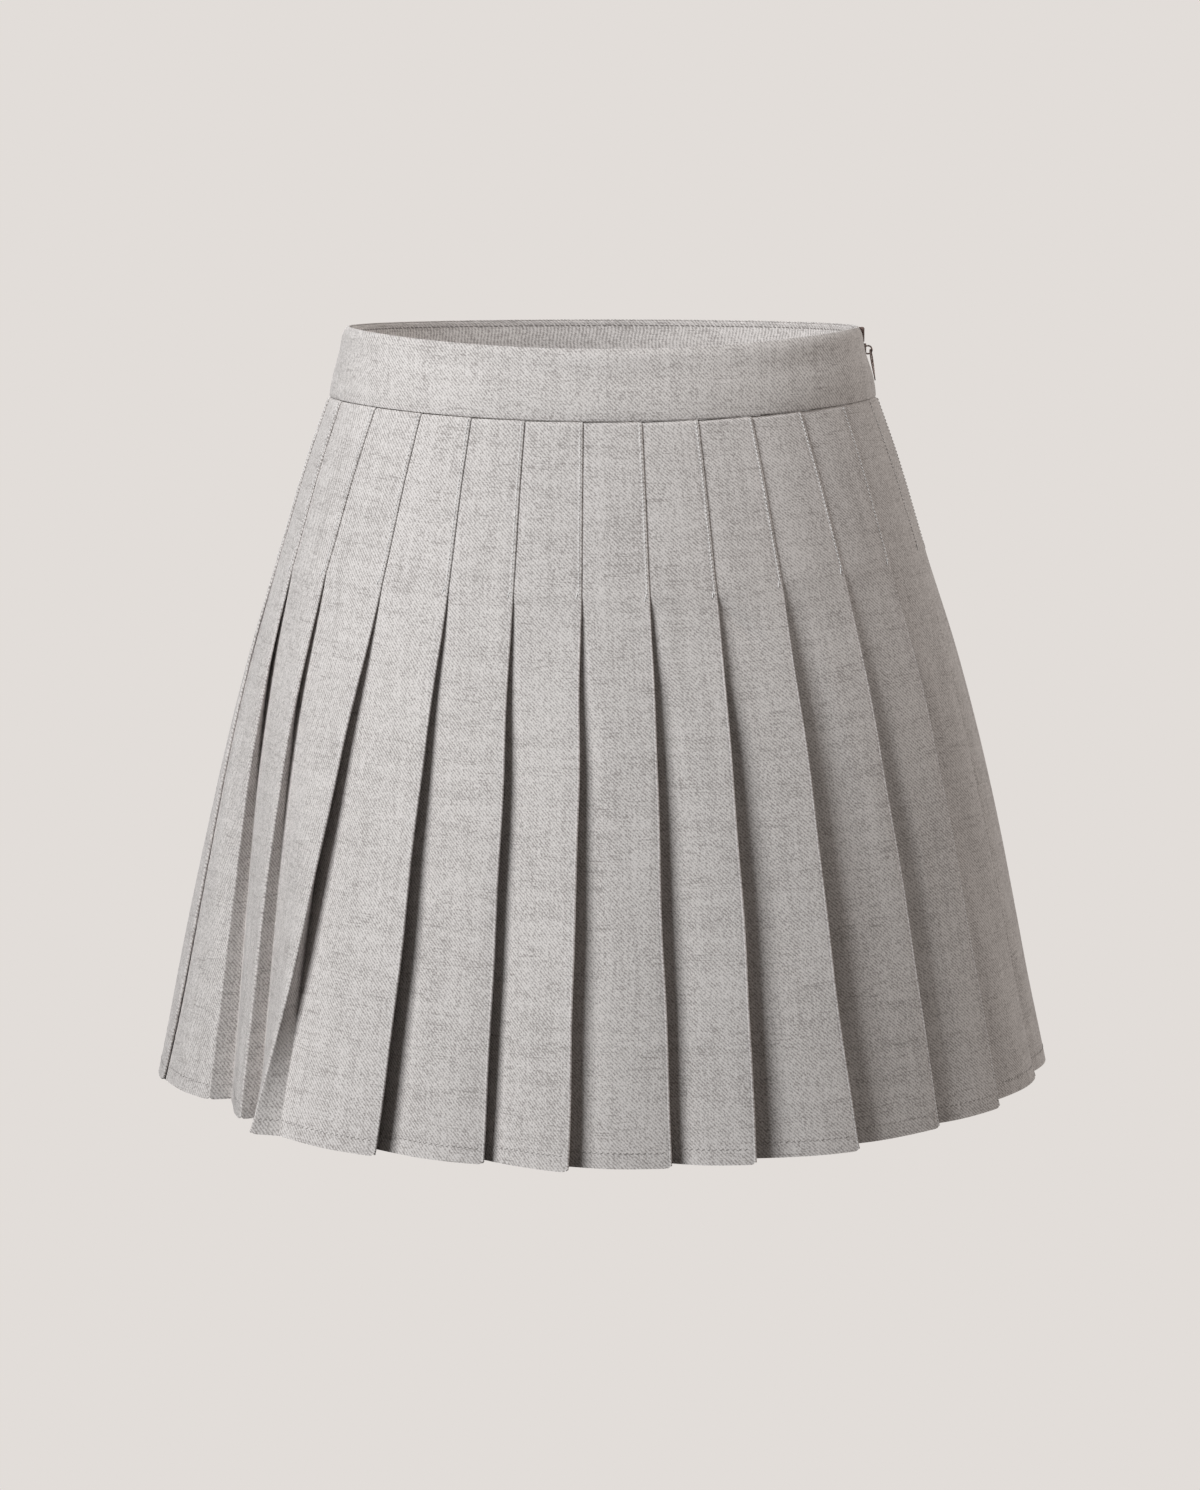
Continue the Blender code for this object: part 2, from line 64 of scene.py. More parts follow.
# Outer surface in mm: level, half width, half depth, and how far the front dips below the sides
BAND_RINGS = (
    (0.0, 127.6, 93.6, 7.7),
    (-3.6, 129.7, 96.3, 7.6),
    (-12.0, 131.5, 99.2, 7.4),
    (-22.0, 134.6, 103.6, 7.1),
    (-30.0, 136.3, 106.2, 7.0),
    (-34.7, 136.9, 107.0, 6.9),
)
SKIRT_RINGS = (
    (-35.0, 137.4, 107.2, 6.9),
    (-64.0, 147.8, 117.7, 9.0),
    (-113.0, 163.0, 133.8, 11.4),
    (-165.0, 180.0, 150.0, 11.3),
    (-228.5, 197.0, 166.3, 11.1),
    (-300.0, 212.7, 181.0, 10.8),
    (-374.5, 227.9, 194.5, 10.5),
)

# Pleats from the left side across the front. Angles in degrees place the crest at the waist seam,
# at the end of the stitching, half-way from there to the hem, and at the hem. Then, in mm: the
# stitched drop, how far the hem stands out, the valley's place at the hem along the ring and
# inwards; powers below 1 that slide the valley out and sink it sooner; how much deeper the valley
# lies half-way down; and how far the panel bows out at the hem.
PLEAT_COLUMNS = ("name", "seam", "stitched", "middle", "hem", "stitch_drop", "hem_out",
                 "valley_along", "valley_inset", "slide_power", "sink_power", "middle_sink",
                 "panel_bow")
PLEATS = [dict(zip(PLEAT_COLUMNS, row)) for row in (
    ("U", -85.5, -84.5, -75.2, -76.1, 80.0, 0.0, -5.0, 1.1, 0.6, 0.6, 0.0, 4.5),
    ("V", -70.5, -69.6, -64.8, -62.9, 82.0, -10.0, 3.5, 20.5, 0.55, 0.85, -1.0, 2.0),
    ("W", -54.0, -56.0, -53.9, -51.8, 79.5, -4.5, 3.0, 13.5, 0.41, 0.73, 0.0, 0.0),
    ("X", -39.8, -40.7, -42.0, -45.6, 78.0, 8.5, 11.0, -1.5, 2.5, 0.6, 8.0, 0.0),
    ("Y", -27.4, -27.0, -26.9, -27.8, 78.0, 3.0, -6.0, 9.0, 0.6, 0.6, 3.0, 1.5),
    ("Z", -15.8, -15.2, -14.4, -14.5, 77.5, -4.5, -6.0, 15.0, 0.6, 0.6, 2.5, 1.5),
    ("A", -4.0, -3.6, -3.6, -4.1, 76.5, 2.5, -6.0, 9.5, 0.6, 0.6, 2.5, 1.0),
    ("B", 7.7, 7.8, 7.9, 8.2, 78.0, -3.0, -6.0, 15.5, 0.6, 0.5, 2.5, 1.5),
    ("C", 19.3, 19.4, 18.9, 18.4, 78.0, 1.0, -6.0, 13.0, 0.6, 0.5, 4.0, 1.5),
    ("D", 31.3, 31.9, 31.1, 32.0, 76.0, 1.5, -6.0, 13.5, 0.6, 0.5, 4.0, 1.5),
    ("E", 44.2, 45.9, 45.7, 46.6, 74.5, -4.5, -7.0, 15.5, 0.6, 0.6, 3.5, 2.0),
    ("F", 59.1, 59.8, 59.1, 59.4, 75.0, -2.0, -7.0, 14.5, 0.6, 0.6, 3.0, 2.5),
    ("G", 74.0, 76.0, 73.5, 77.4, 73.5, -4.5, -7.0, 14.5, 0.6, 0.6, 2.5, 3.0),
    ("H", 87.4, 90.5, 92.5, 96.0, 76.0, 0.0, -6.0, 12.0, 0.6, 0.6, 0.0, 4.5),
    ("I", 102.0, 105.0, 107.5, 109.5, 77.0, -3.0, -5.0, 14.0, 0.6, 0.6, 1.5, 2.5),
    ("J", 117.0, 119.3, 120.0, 121.5, 78.5, 2.0, -6.0, 11.0, 0.6, 0.6, 1.5, 3.0),
    ("K", 131.6, 133.2, 135.5, 136.5, 76.0, -2.0, -6.0, 12.5, 0.6, 0.6, 1.5, 2.0),
    ("L", 145.3, 146.6, 147.0, 148.5, 79.0, 3.0, -5.0, 10.5, 0.5, 0.5, 1.5, 2.5),
    ("M", 158.2, 159.4, 161.5, 163.0, 77.5, -4.0, -6.5, 14.5, 0.6, 0.6, 1.5, 1.5),
    ("N", 170.4, 171.7, 172.0, 173.5, 76.5, 1.0, -6.0, 11.5, 0.6, 0.6, 1.5, 2.0),
    ("O", 182.2, 183.7, 186.0, 187.5, 78.0, 2.5, -5.5, 10.5, 0.6, 0.6, 1.5, 1.5),
    ("P", 194.0, 195.8, 197.0, 199.5, 79.5, -3.5, -6.0, 14.0, 0.6, 0.6, 1.5, 2.0),
    ("Q", 206.2, 208.2, 210.5, 211.0, 77.0, 1.5, -6.0, 11.0, 0.5, 0.5, 1.5, 1.5),
    ("R", 219.1, 221.2, 223.0, 226.0, 75.5, 3.0, -5.5, 10.0, 0.6, 0.6, 1.5, 2.5),
    ("S", 232.5, 234.6, 237.0, 238.0, 78.0, -3.0, -6.0, 13.5, 0.6, 0.6, 1.5, 2.0),
    ("T", 246.3, 248.0, 251.0, 253.5, 79.0, 2.0, -6.0, 11.0, 0.6, 0.6, 1.5, 3.0),
    ("TT", 260.4, 261.5, 264.0, 266.5, 78.5, -1.0, -6.0, 12.5, 0.6, 0.6, 1.5, 3.5),
)]
LAST_FRONT_PLEAT = 13  # H, whose valley holds the side seam on the right
PLEAT_SPANS = {"front": (1, LAST_FRONT_PLEAT), "back": (LAST_FRONT_PLEAT + 1, len(PLEATS))}
OUT_POWER = 1.3  # how a fold moves out on its way to the hem

# Fine grid of the pleats
CREST_STEPS = 6
VALLEY_STEPS = 4
RETURN_STEPS = 8
PANEL_STEPS = 15
PANEL_EDGE = (6.0, 4.0, 2.8, 2.1, 1.7, 1.35, 1.0, 0.6, 0.3)  # mm from the crest


def falling(stops, last):
    """Levels from each stop to the next in steps of about its size, down to the last."""
    levels = []
    for (start, step), (end, _) in zip(stops, (*stops[1:], (last, 0))):
        count = max(1, round((start - end) / step))
        levels += [start + (end - start) * i / count for i in range(count)]
    return levels + [last]


SKIRT_LEVELS = falling(((SKIRT_TOP, 0.5), (-37.0, 4.8), (-104.0, 2.5), (-134.0, 6.4), (-366.0, 1.6),
                        (-372.5, 0.5)), HEM)


def smooth_value(rows, level, column=1):
    """A table's column at a level, on a smooth curve through its rows that never overshoots."""
    x = [-row[0] for row in rows]
    values = [row[column] for row in rows]
    at = min(max(-level, x[0]), x[-1])
    slopes = [(values[i + 1] - values[i]) / (x[i + 1] - x[i]) for i in range(len(x) - 1)]
    tangents = [slopes[0]]
    for before, after in zip(slopes, slopes[1:]):
        same_way = before * after > 0
        tangents.append(2 * before * after / (before + after) if same_way else 0.0)
    tangents.append(slopes[-1])
    i = max(k for k in range(len(x) - 1) if x[k] <= at)
    step = x[i + 1] - x[i]
    t = (at - x[i]) / step
    start = (1 + 2 * t) * (1 - t) ** 2 * values[i] + t * (1 - t) ** 2 * step * tangents[i]
    end = t * t * (3 - 2 * t) * values[i + 1] - t * t * (1 - t) * step * tangents[i + 1]
    return start + end


class Ring:
    """One level (mm) of the outer surface: an ellipse with its arc length from the front."""

    ANGLES = np.radians(np.arange(-180.0, 541.0, 0.5))

    def __init__(self, level):
        rows = BAND_RINGS if level >= BAND_BOTTOM else SKIRT_RINGS
        a, b, dip = (smooth_value(rows, level, column) * MM for column in (1, 2, 3))
        self.level, self.half_width, self.half_depth, self.front_dip = level, a, b, dip
        speed = np.hypot(a * np.cos(self.ANGLES), b * np.sin(self.ANGLES))
        lengths = np.concatenate([[0.0], np.cumsum((speed[1:] + speed[:-1]) / 2 * np.diff(self.ANGLES))])
        self.lengths = lengths - np.interp(0.0, self.ANGLES, lengths)
        self.perimeter = self.along(360.0) - self.along(0.0)

    def along(self, degrees):
        """Arc length from the front to an angle."""
        return float(np.interp(radians(degrees), self.ANGLES, self.lengths))

    def points(self, along, out, raised=0.0):
        """Points at arc lengths, so far outside the ring, as rows of x, y, z."""
        angle = np.interp(along, self.lengths, self.ANGLES)
        sine, cosine = np.sin(angle), np.cos(angle)
        nx, ny = self.half_depth * sine, -self.half_width * cosine
        size = np.hypot(nx, ny)
        z = self.level * MM - self.front_dip * np.maximum(0.0, cosine) ** 2 + raised
        x = self.half_width * sine + nx / size * out
        y = -self.half_depth * cosine + ny / size * out
        return np.stack([x, y, z + 0 * x], axis=-1)


def between(start, end, share):
    """The value so far of the way from one to another."""
    return start + (end - start) * share


def smoothstep(low, high, value):
    """0 below low, 1 above high and smooth in between."""
    t = np.clip((value - low) / (high - low), 0.0, 1.0)
    return t * t * (3 - 2 * t)


def pleat_at(ring, index):
    """A pleat at one level: its pins, the pin's radius, how far it is open and its bow."""
    turns, row = divmod(index, len(PLEATS))
    pleat = PLEATS[row]
    stitch_end = SKIRT_TOP - pleat["stitch_drop"]
    if ring.level > stitch_end:
        opening = 0.0
        degrees = between(pleat["seam"], pleat["stitched"],
                          (SKIRT_TOP - ring.level) / (SKIRT_TOP - stitch_end))
    else:
        opening = (stitch_end - ring.level) / (stitch_end - HEM)
        straight_middle = (pleat["stitched"] + pleat["hem"]) / 2
        degrees = between(pleat["stitched"], pleat["hem"], opening)
        degrees += (pleat["middle"] - straight_middle) * 4 * opening * (1 - opening)
    radius = (CLOTH_THICKNESS + between(STITCHED_GAP, OPEN_GAP, min(1.0, opening * 3))) / 2
    pitch = ring.perimeter / len(PLEATS)
    underlay = (PLEAT_CLOTH - pitch) / 2
    slid = opening ** pleat["slide_power"]
    sunk = opening ** pleat["sink_power"]
    surface = -CLOTH_THICKNESS / 2
    crest_along = ring.along(degrees + 360.0 * turns)
    crest_out = surface + pleat["hem_out"] * MM * opening ** OUT_POWER - radius
    valley_along = between(radius - underlay, pleat["valley_along"] * MM, slid)
    valley_inset = between(radius * (3 + 4 * underlay / pitch), pleat["valley_inset"] * MM, sunk)
    valley_inset += pleat["middle_sink"] * MM * 4 * opening * (1 - opening)
    return {"crest": np.array([crest_along - radius, crest_out]),
            "valley": np.array([crest_along + valley_along, surface - valley_inset]),
            "radius": radius, "opening": opening, "bow": pleat["panel_bow"] * MM * opening,
            "row": row}


def heading(start, end, radii, crossing):
    """Direction of the straight cloth that crosses over from one pin to the next."""
    line = end - start
    return atan2(line[1], line[0]) + crossing * asin(radii / np.hypot(*line))


def turned(angle):
    """The direction at an angle, in arc length and distance outwards."""
    return np.stack([np.cos(angle), np.sin(angle)], axis=-1)


# Soft creases of the front and of the hidden sides. Each is a trough or ridge on a
# panel, named by the crest that it runs to: its middle as a share of the panel's width and its
# level, its half sizes across and down, its height out of the cloth, all in mm, and how far it
# leans across the panel per mm downwards.
CREASE_COLUMNS = ("panel", "share", "level", "half_across", "half_down", "height", "lean")
CREASES = [dict(zip(CREASE_COLUMNS, row)) for row in (
    ("D", 0.55, -128.0, 4.0, 12.0, -1.1, 0.9),
    ("D", 0.30, -150.0, 6.0, 30.0, 0.9, 0.25),
    ("C", 0.45, -135.0, 5.0, 20.0, 0.6, -0.2),
    ("B", 0.55, -190.0, 7.0, 60.0, 0.7, 0.05),
    ("A", 0.40, -150.0, 6.0, 34.0, 0.7, 0.10),
    ("Z", 0.55, -260.0, 7.0, 70.0, -0.8, 0.03),
    ("Y", 0.50, -230.0, 8.0, 60.0, 0.9, -0.05),
    ("X", 0.55, -150.0, 6.0, 30.0, 0.7, -0.15),
    ("E", 0.50, -175.0, 6.0, 45.0, -0.8, 0.12),
    ("E", 0.35, -300.0, 8.0, 50.0, 0.8, 0.05),
    ("F", 0.55, -230.0, 6.0, 60.0, 0.8, 0.05),
    ("G", 0.45, -160.0, 5.0, 40.0, 0.7, 0.10),
    ("H", 0.50, -250.0, 7.0, 70.0, 0.8, 0.0),
    ("J", 0.50, -140.0, 5.0, 18.0, -0.9, 0.6),
    ("K", 0.45, -240.0, 8.0, 60.0, 0.9, 0.05),
    ("M", 0.55, -170.0, 6.0, 35.0, 0.8, -0.1),
    ("O", 0.45, -290.0, 8.0, 60.0, -0.8, 0.05),
    ("P", 0.55, -135.0, 4.5, 14.0, -0.9, 0.7),
    ("R", 0.50, -210.0, 7.0, 60.0, 0.9, 0.0),
    ("T", 0.45, -260.0, 7.0, 60.0, 0.8, 0.08),
    ("U", 0.50, -180.0, 6.0, 40.0, 0.7, -0.1),
)]
WAVE_SEED = 11
WAVES = np.random.default_rng(WAVE_SEED).uniform(-1, 1, (len(PLEATS), 8))
STITCHED_PUFF = 0.35 * MM  # how far a panel rises between its lines of stitching


def panel_relief(row, share, level, width, opening):
    """How far a panel's cloth stands out of its plain shape, along the panel at one level."""
    relief = np.zeros_like(share)
    for c in CREASES:
        if c["panel"] != PLEATS[row]["name"]:
            continue
        down = (c["level"] - level) / c["half_down"]
        across = (share - c["share"]) * width / MM - c["lean"] * (c["level"] - level)
        across /= c["half_across"]
        relief += c["height"] * MM * np.exp(-across ** 2 - down ** 2)
    w = WAVES[row]
    phase = share * (4.0 + w[0]) + w[1] * 3
    sway = 0.32 * np.sin(phase + level / (38.0 + 8 * w[2]))
    sway += 0.22 * np.sin(phase * 2 + level / 21.0 + w[3])
    relief += sway * MM * min(1.0, opening * 5)
    puff = STITCHED_PUFF * (1 - min(1.0, opening * 6))
    return (relief + puff) * np.sin(pi * share) ** 0.7


def crest_sway(row, level, opening):
    """Small wander of a fold's edge along the ring."""
    w = WAVES[row]
    amount = 0.55 * sin(level / (31.0 + 6 * w[4]) + 3 * w[5])
    amount += 0.3 * sin(level / 13.0 + 5 * w[6])
    return amount * MM * min(1.0, opening * 4) * (1 - 0.6 * opening)


STITCH_FROM_EDGE = 0.75  # mm from the fold to the stitching that holds a pleat down
STITCH_SINK = 0.16 * MM  # how far the cloth dips beside that stitching
CREST_DROOP = 0.35 * MM  # how far the cloth curls in as it reaches a fold
NEAR_FOLD = 1.2  # mm over which cloth counts as near to a fold


def fold_path(ring, first, last):
    """The cloth at one level, from the valley before one pleat to the end of another.

    Gives the middle of the cloth as arc length and distance outwards, the normal of its outer
    face, its place on the flat cloth, and how near each point is to a fold (1 on the fold).
    """
    parts = []
    quarter, full = pi / 2, 2 * pi
    level = ring.level

    def add(place, normal, on_cloth, near_fold):
        parts.append((place, np.broadcast_to(normal, place.shape), on_cloth, near_fold))

    pleats = {i: pleat_at(ring, i) for i in range(first - 1, last + 2)}
    for p in pleats.values():
        p["crest"] = p["crest"] + np.array([crest_sway(p["row"], level, p["opening"]), 0.0])
    for index in range(first, last + 1):
        before, here, after = pleats[index - 1], pleats[index], pleats[index + 1]
        r0, r = before["radius"], here["radius"]
        panel = heading(before["valley"], here["crest"], r0 + r, 1)
        back = heading(here["crest"], here["valley"], 2 * r, -1) % full
        onward = heading(here["valley"], after["crest"], r + after["radius"], 1)
        panel_normal, back_normal = turned(panel + quarter), turned(back + quarter)
        start = before["valley"] - panel_normal * r0
        end = here["crest"] + panel_normal * r
        length = np.hypot(*(end - start))
        edge = 1 - np.array(PANEL_EDGE) * MM / length
        shares = np.concatenate([np.linspace(0, edge[0], PANEL_STEPS + 1)[:-1], edge])
        relief = panel_relief(here["row"], shares, level, length, here["opening"])
        relief += here["bow"] * np.sin(pi * shares)
        from_edge = (1 - shares) * length / MM
        if here["opening"] == 0.0:
            relief -= STITCH_SINK * np.exp(-((from_edge - STITCH_FROM_EDGE - 1.0) / 0.5) ** 2)
        else:
            relief -= CREST_DROOP * min(1.0, here["opening"] * 8) * np.exp(-from_edge / 1.1)
        line = start + np.outer(shares, end - start) + np.outer(relief, panel_normal)
        cloth_middle = index * PLEAT_CLOTH
        if index > first:
            line, shares, from_edge = line[1:], shares[1:], from_edge[1:]
        add(line, panel_normal, cloth_middle + (shares - 0.5) * length, np.exp(-from_edge / NEAR_FOLD))
        sweep = panel + full - back
        steps = np.linspace(0, 1, CREST_STEPS + 1)
        around = turned(panel + quarter - sweep * steps)
        crest_start = cloth_middle + length / 2
        add(here["crest"] + around * r, around, crest_start + steps * sweep * r, np.ones_like(steps))
        back_start = here["crest"] + back_normal * r
        back_end = here["valley"] - back_normal * r
        back_length = np.hypot(*(back_end - back_start))
        steps = np.linspace(0, 1, RETURN_STEPS + 1)[1:-1]
        cloth_at = crest_start + sweep * r
        add(back_start + np.outer(steps, back_end - back_start), back_normal,
            cloth_at + steps * back_length, np.exp(-steps * back_length / (NEAR_FOLD * MM)))
        cloth_at += back_length
        if index == last:
            add(back_end[None, :], back_normal, np.array([cloth_at]), np.zeros(1))
        else:
            steps = np.linspace(0, 1, VALLEY_STEPS + 1)
            sweep = onward - back + full
            around = turned(back - quarter + sweep * steps)
            following = after["crest"] + turned(onward + quarter) * after["radius"]
            leaving = here["valley"] - turned(onward + quarter) * r
            next_start = (index + 1) * PLEAT_CLOTH - np.hypot(*(following - leaving)) / 2
            add(here["valley"] + around * r, -around, between(cloth_at, next_start, steps),
                np.zeros_like(steps))
    return tuple(np.concatenate(column) for column in zip(*parts))


def put(name, data):
    """A new object in the scene."""
    made = bpy.data.objects.new(name, data)
    bpy.context.scene.collection.objects.link(made)
    return made


def link(mesh, finish, body=BODY):
    """A new piece from a mesh and named after it, with its material and body."""
    piece = put(mesh.name, mesh)
    mesh.materials.append(finish)
    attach(piece, body)
    return piece


def smooth(mesh, angle):
    """Shades a mesh smoothly, except across edges sharper than an angle."""
    mesh.shade_smooth()
    mesh.set_sharp_from_angle(angle=radians(angle))
    return mesh


def mesh_from(name, points, faces, smooth_angle):
    """A mesh of points and faces, its faces turned outwards."""
    mesh = bpy.data.meshes.new(name)
    mesh.from_pydata([tuple(p) for p in points], [], faces)
    bm = bmesh.new()
    bm.from_mesh(mesh)
    bmesh.ops.recalc_face_normals(bm, faces=bm.faces)
    bm.to_mesh(mesh)
    bm.free()
    return smooth(mesh, smooth_angle)


def tube_faces(rings, sides, closed=False, base=0):
    """Four-sided faces between rings of points that follow each other."""
    faces = []
    for i in range(rings if closed else rings - 1):
        a, b = base + i * sides, base + (i + 1) % rings * sides
        for k in range(sides):
            m = (k + 1) % sides
            faces.append((a + k, a + m, b + m, b + k))
    return faces


def grid_mesh(name, outer, inner, cloth_u, cloth_v):
    """A closed wall between two grids of points (rows, columns, xyz), with the cloth's own UVs."""
    rows, columns = outer.shape[:2]
    points = np.concatenate([outer.reshape(-1, 3), inner.reshape(-1, 3)])
    index = np.arange(rows * columns).reshape(rows, columns)
    back = index + rows * columns

    def quads(a, b, c, d):
        return np.stack([a, b, c, d], axis=-1).reshape(-1, 4)

    faces = np.concatenate([
        quads(index[:-1, :-1], index[1:, :-1], index[1:, 1:], index[:-1, 1:]),
        quads(back[:-1, :-1], back[:-1, 1:], back[1:, 1:], back[1:, :-1]),
        quads(index[0, :-1], index[0, 1:], back[0, 1:], back[0, :-1]),
        quads(index[-1, 1:], index[-1, :-1], back[-1, :-1], back[-1, 1:]),
        quads(index[1:, 0], index[:-1, 0], back[:-1, 0], back[1:, 0]),
        quads(index[:-1, -1], index[1:, -1], back[1:, -1], back[:-1, -1])])
    mesh = bpy.data.meshes.new(name)
    mesh.from_pydata(points.tolist(), [], faces.tolist())
    uv = np.stack([np.tile(cloth_u.ravel(), 2), np.tile(cloth_v.ravel(), 2)], axis=-1)
    layer = mesh.uv_layers.new(name="weave")
    layer.data.foreach_set("uv", uv[faces.ravel()].astype(np.float32).ravel())
    return smooth(mesh, 60)


TUCK = 0.9 * MM  # how far the top edge turns in under the waistband
TUCK_HEIGHT = 1.8  # mm
HEM_FOLD = 9.0  # mm of cloth turned up inside the hem
HEM_FOLD_THICKNESS = 0.45 * MM
HEM_CORNER = 1.1 * MM  # how far the corner of a fold is rounded up at the hem
CORNER_HEIGHT = 3.0  # mm


def pleated_shell(name, first, last, finish):
    """A stretch of the pleated skirt as thin cloth."""
    outer, inner, us, vs = [], [], [], []
    slant = 0.0
    before = None
    for level in SKIRT_LEVELS:
        ring = Ring(level)
        places, normals, flat, folded = fold_path(ring, first, last)
        half = CLOTH_THICKNESS / 2
        turned_up = 1 - smoothstep(HEM + HEM_FOLD - 0.8, HEM + HEM_FOLD, level)
        off_fold = (1 - np.clip(folded * 3, 0, 1)) * (np.abs(normals[:, 1]) > 0.5)
        inside = half + HEM_FOLD_THICKNESS * turned_up * off_fold
        tuck = -TUCK * smoothstep(SKIRT_TOP - TUCK_HEIGHT, SKIRT_TOP, level) ** 2
        corner = HEM_CORNER * folded ** 2 * (1 - smoothstep(HEM, HEM + CORNER_HEIGHT, level))
        front = places + normals * half
        rear = places - normals * inside[:, None]
        outer.append(ring.points(front[:, 0], front[:, 1] + tuck, corner))
        inner.append(ring.points(rear[:, 0], rear[:, 1] + tuck, corner))
        if before is not None:
            slant -= np.median(np.linalg.norm(outer[-1] - before, axis=1))
        before = outer[-1]
        us.append(flat)
        vs.append(np.full_like(flat, slant))
    mesh = grid_mesh(name, np.array(outer), np.array(inner), np.array(us), np.array(vs))
    return link(mesh, finish)


# Waistband

def strip_grid(rows, span, columns, relief=None):
    """Outer grid of a strip round the waist from rows of level and depth (mm)."""
    grid, lengths = [], []
    for level, depth in rows:
        ring = Ring(level)
        start, end = (ring.along(degrees) + offset for degrees, offset in span)
        along = np.linspace(start, end, columns + 1)
        out = np.full(columns + 1, -depth * MM)
        if relief is not None:
            out = out + relief(along, level)
        grid.append(ring.points(along, out))
        lengths.append(along)
    return np.array(grid), np.array(lengths)


# Height, length round the waist, fall down the band and start of each wave; the first three in mm
BAND_WAVES = ((0.22, 31, 9.0, 0.0), (0.16, 13, -6.0, 1.0), (0.10, 7, 14.0, 2.0))


def off_edges(level, power):
    """1 in the middle of the waistband's height and 0 at its edges."""
    return sin(pi * min(1.0, max(0.0, level / BAND_BOTTOM))) ** power


def band_relief(along, level):
    """Slight waves of a worn waistband, quiet at its edges."""
    wave = sum(height * np.sin(along / (length * MM) + level / fall + start)
               for height, length, fall, start in BAND_WAVES)
    return wave * off_edges(level, 0.8) * MM


def facing_relief(along, level):
    """Ridges where seam allowances lie behind the facing."""
    centre_back = Ring(0.0).along(180.0)
    ridge = -0.9 * np.exp(-((along - centre_back - 4 * MM) / (3 * MM)) ** 2)
    step = -0.35 * smoothstep(-3 * MM, 3 * MM, along - centre_back + 83 * MM)
    wave = 0.25 * np.sin(along / (17 * MM) + level / 8.0)
    return (ridge + step + wave) * off_edges(level, 0.5) * MM


# How far above a strip's lower edge, and how far it turns in there, in mm
LOWER_EDGE = ((0.5, 0.0), (0.2, 0.10), (0.0, 0.4))


def band_shell(name, rows, thickness, span, columns, finish, relief):
    """A strip of the waistband with a rolled top edge."""
    top, top_depth = rows[0]
    roll = thickness / 2 / MM
    outer_rows = [(top - roll * (1 - cos(a)), top_depth + roll * (1 - sin(a)))
                  for a in np.radians((0, 22, 45, 67))]
    outer_rows += [row for row in rows if row[0] < top - roll - 0.05]
    bottom, bottom_depth = rows[-1]
    outer_rows = [row for row in outer_rows if row[0] > bottom + LOWER_EDGE[0][0] + 0.05]
    outer_rows += [(bottom + up, bottom_depth + turn) for up, turn in LOWER_EDGE]
    outer, lengths = strip_grid(outer_rows, span, columns, relief)
    depth_rows = []
    for level, _ in outer_rows:
        above = max(0.0, (level - (top - roll)) / roll)
        extra = sqrt(max(0.0, 1 - above ** 2))
        middle = smooth_value(rows, level) + roll
        depth_rows.append((level, middle + roll * extra))
    inner, _ = strip_grid(depth_rows, span, columns, relief)
    heights = np.array([row[0] for row in outer_rows]) * MM
    v = np.repeat(heights[:, None], columns + 1, axis=1)
    mesh = grid_mesh(name, outer, inner, lengths, v)
    return link(mesh, finish)


LEFT_SEAM = -90.0  # degrees
ZIP_PLACE = 90.0
SEAM_GAP = 0.3 * MM
ZIP_GAP = 3.0 * MM
TAPE_WIDTH = 10.5 * MM
BAND_THICKNESS = 1.1 * MM
FACING_THICKNESS = 0.9 * MM
BAND_LEVELS = (0.0, -1.2, -2.4, -3.6, -6.0, -9.0, -12.0, -15.0, -18.0, -22.0, -26.0, -30.0, -33.0,
               BAND_BOTTOM)
FACING_TABLE = ((-0.8, 1.4), (-6.0, 2.4), (-20.0, 3.0), (-34.4, 4.6))  # level, depth in mm
FACING_LEVELS = (-0.8, -2.0, -4.0, -6.0, -9.0, -12.0, -16.0, -20.0, -24.0, -28.0, -32.0, -34.4)


def halves(off_seam, off_zip):
    """Where the front and the back half start and end: an angle and how far from it."""
    return {"front": ((LEFT_SEAM, off_seam), (ZIP_PLACE, -off_zip)),
            "back": ((ZIP_PLACE, off_zip), (LEFT_SEAM + 360.0, -off_seam))}


def make_waistband(finish):
    """The two bands and their facings."""
    band_rows = [(level, 0.0) for level in BAND_LEVELS]
    facing_rows = [(level, smooth_value(FACING_TABLE, level)) for level in FACING_LEVELS]
    spans = halves(SEAM_GAP / 2, ZIP_GAP / 2)
    facings = halves(SEAM_GAP / 2, ZIP_GAP / 2 + TAPE_WIDTH + SEAM_GAP)
    for side in ("front", "back"):
        band = band_shell(f"band_{side}", band_rows, BAND_THICKNESS, spans[side], 150, finish,
                          band_relief)
        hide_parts(f"waistband_{side}")
        facing = band_shell(f"facing_{side}", facing_rows, FACING_THICKNESS, facings[side], 140,
                            finish, facing_relief)
        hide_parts(f"waistband_facing_{side}")


# Stitches

# Along a stitch: how far along it, its share of the full width, and its lift in heights
STITCH_PROFILE = ((0.18, 0.75, 0.25), (0.5, 1.0, 0.6), (0.82, 0.75, 0.25))


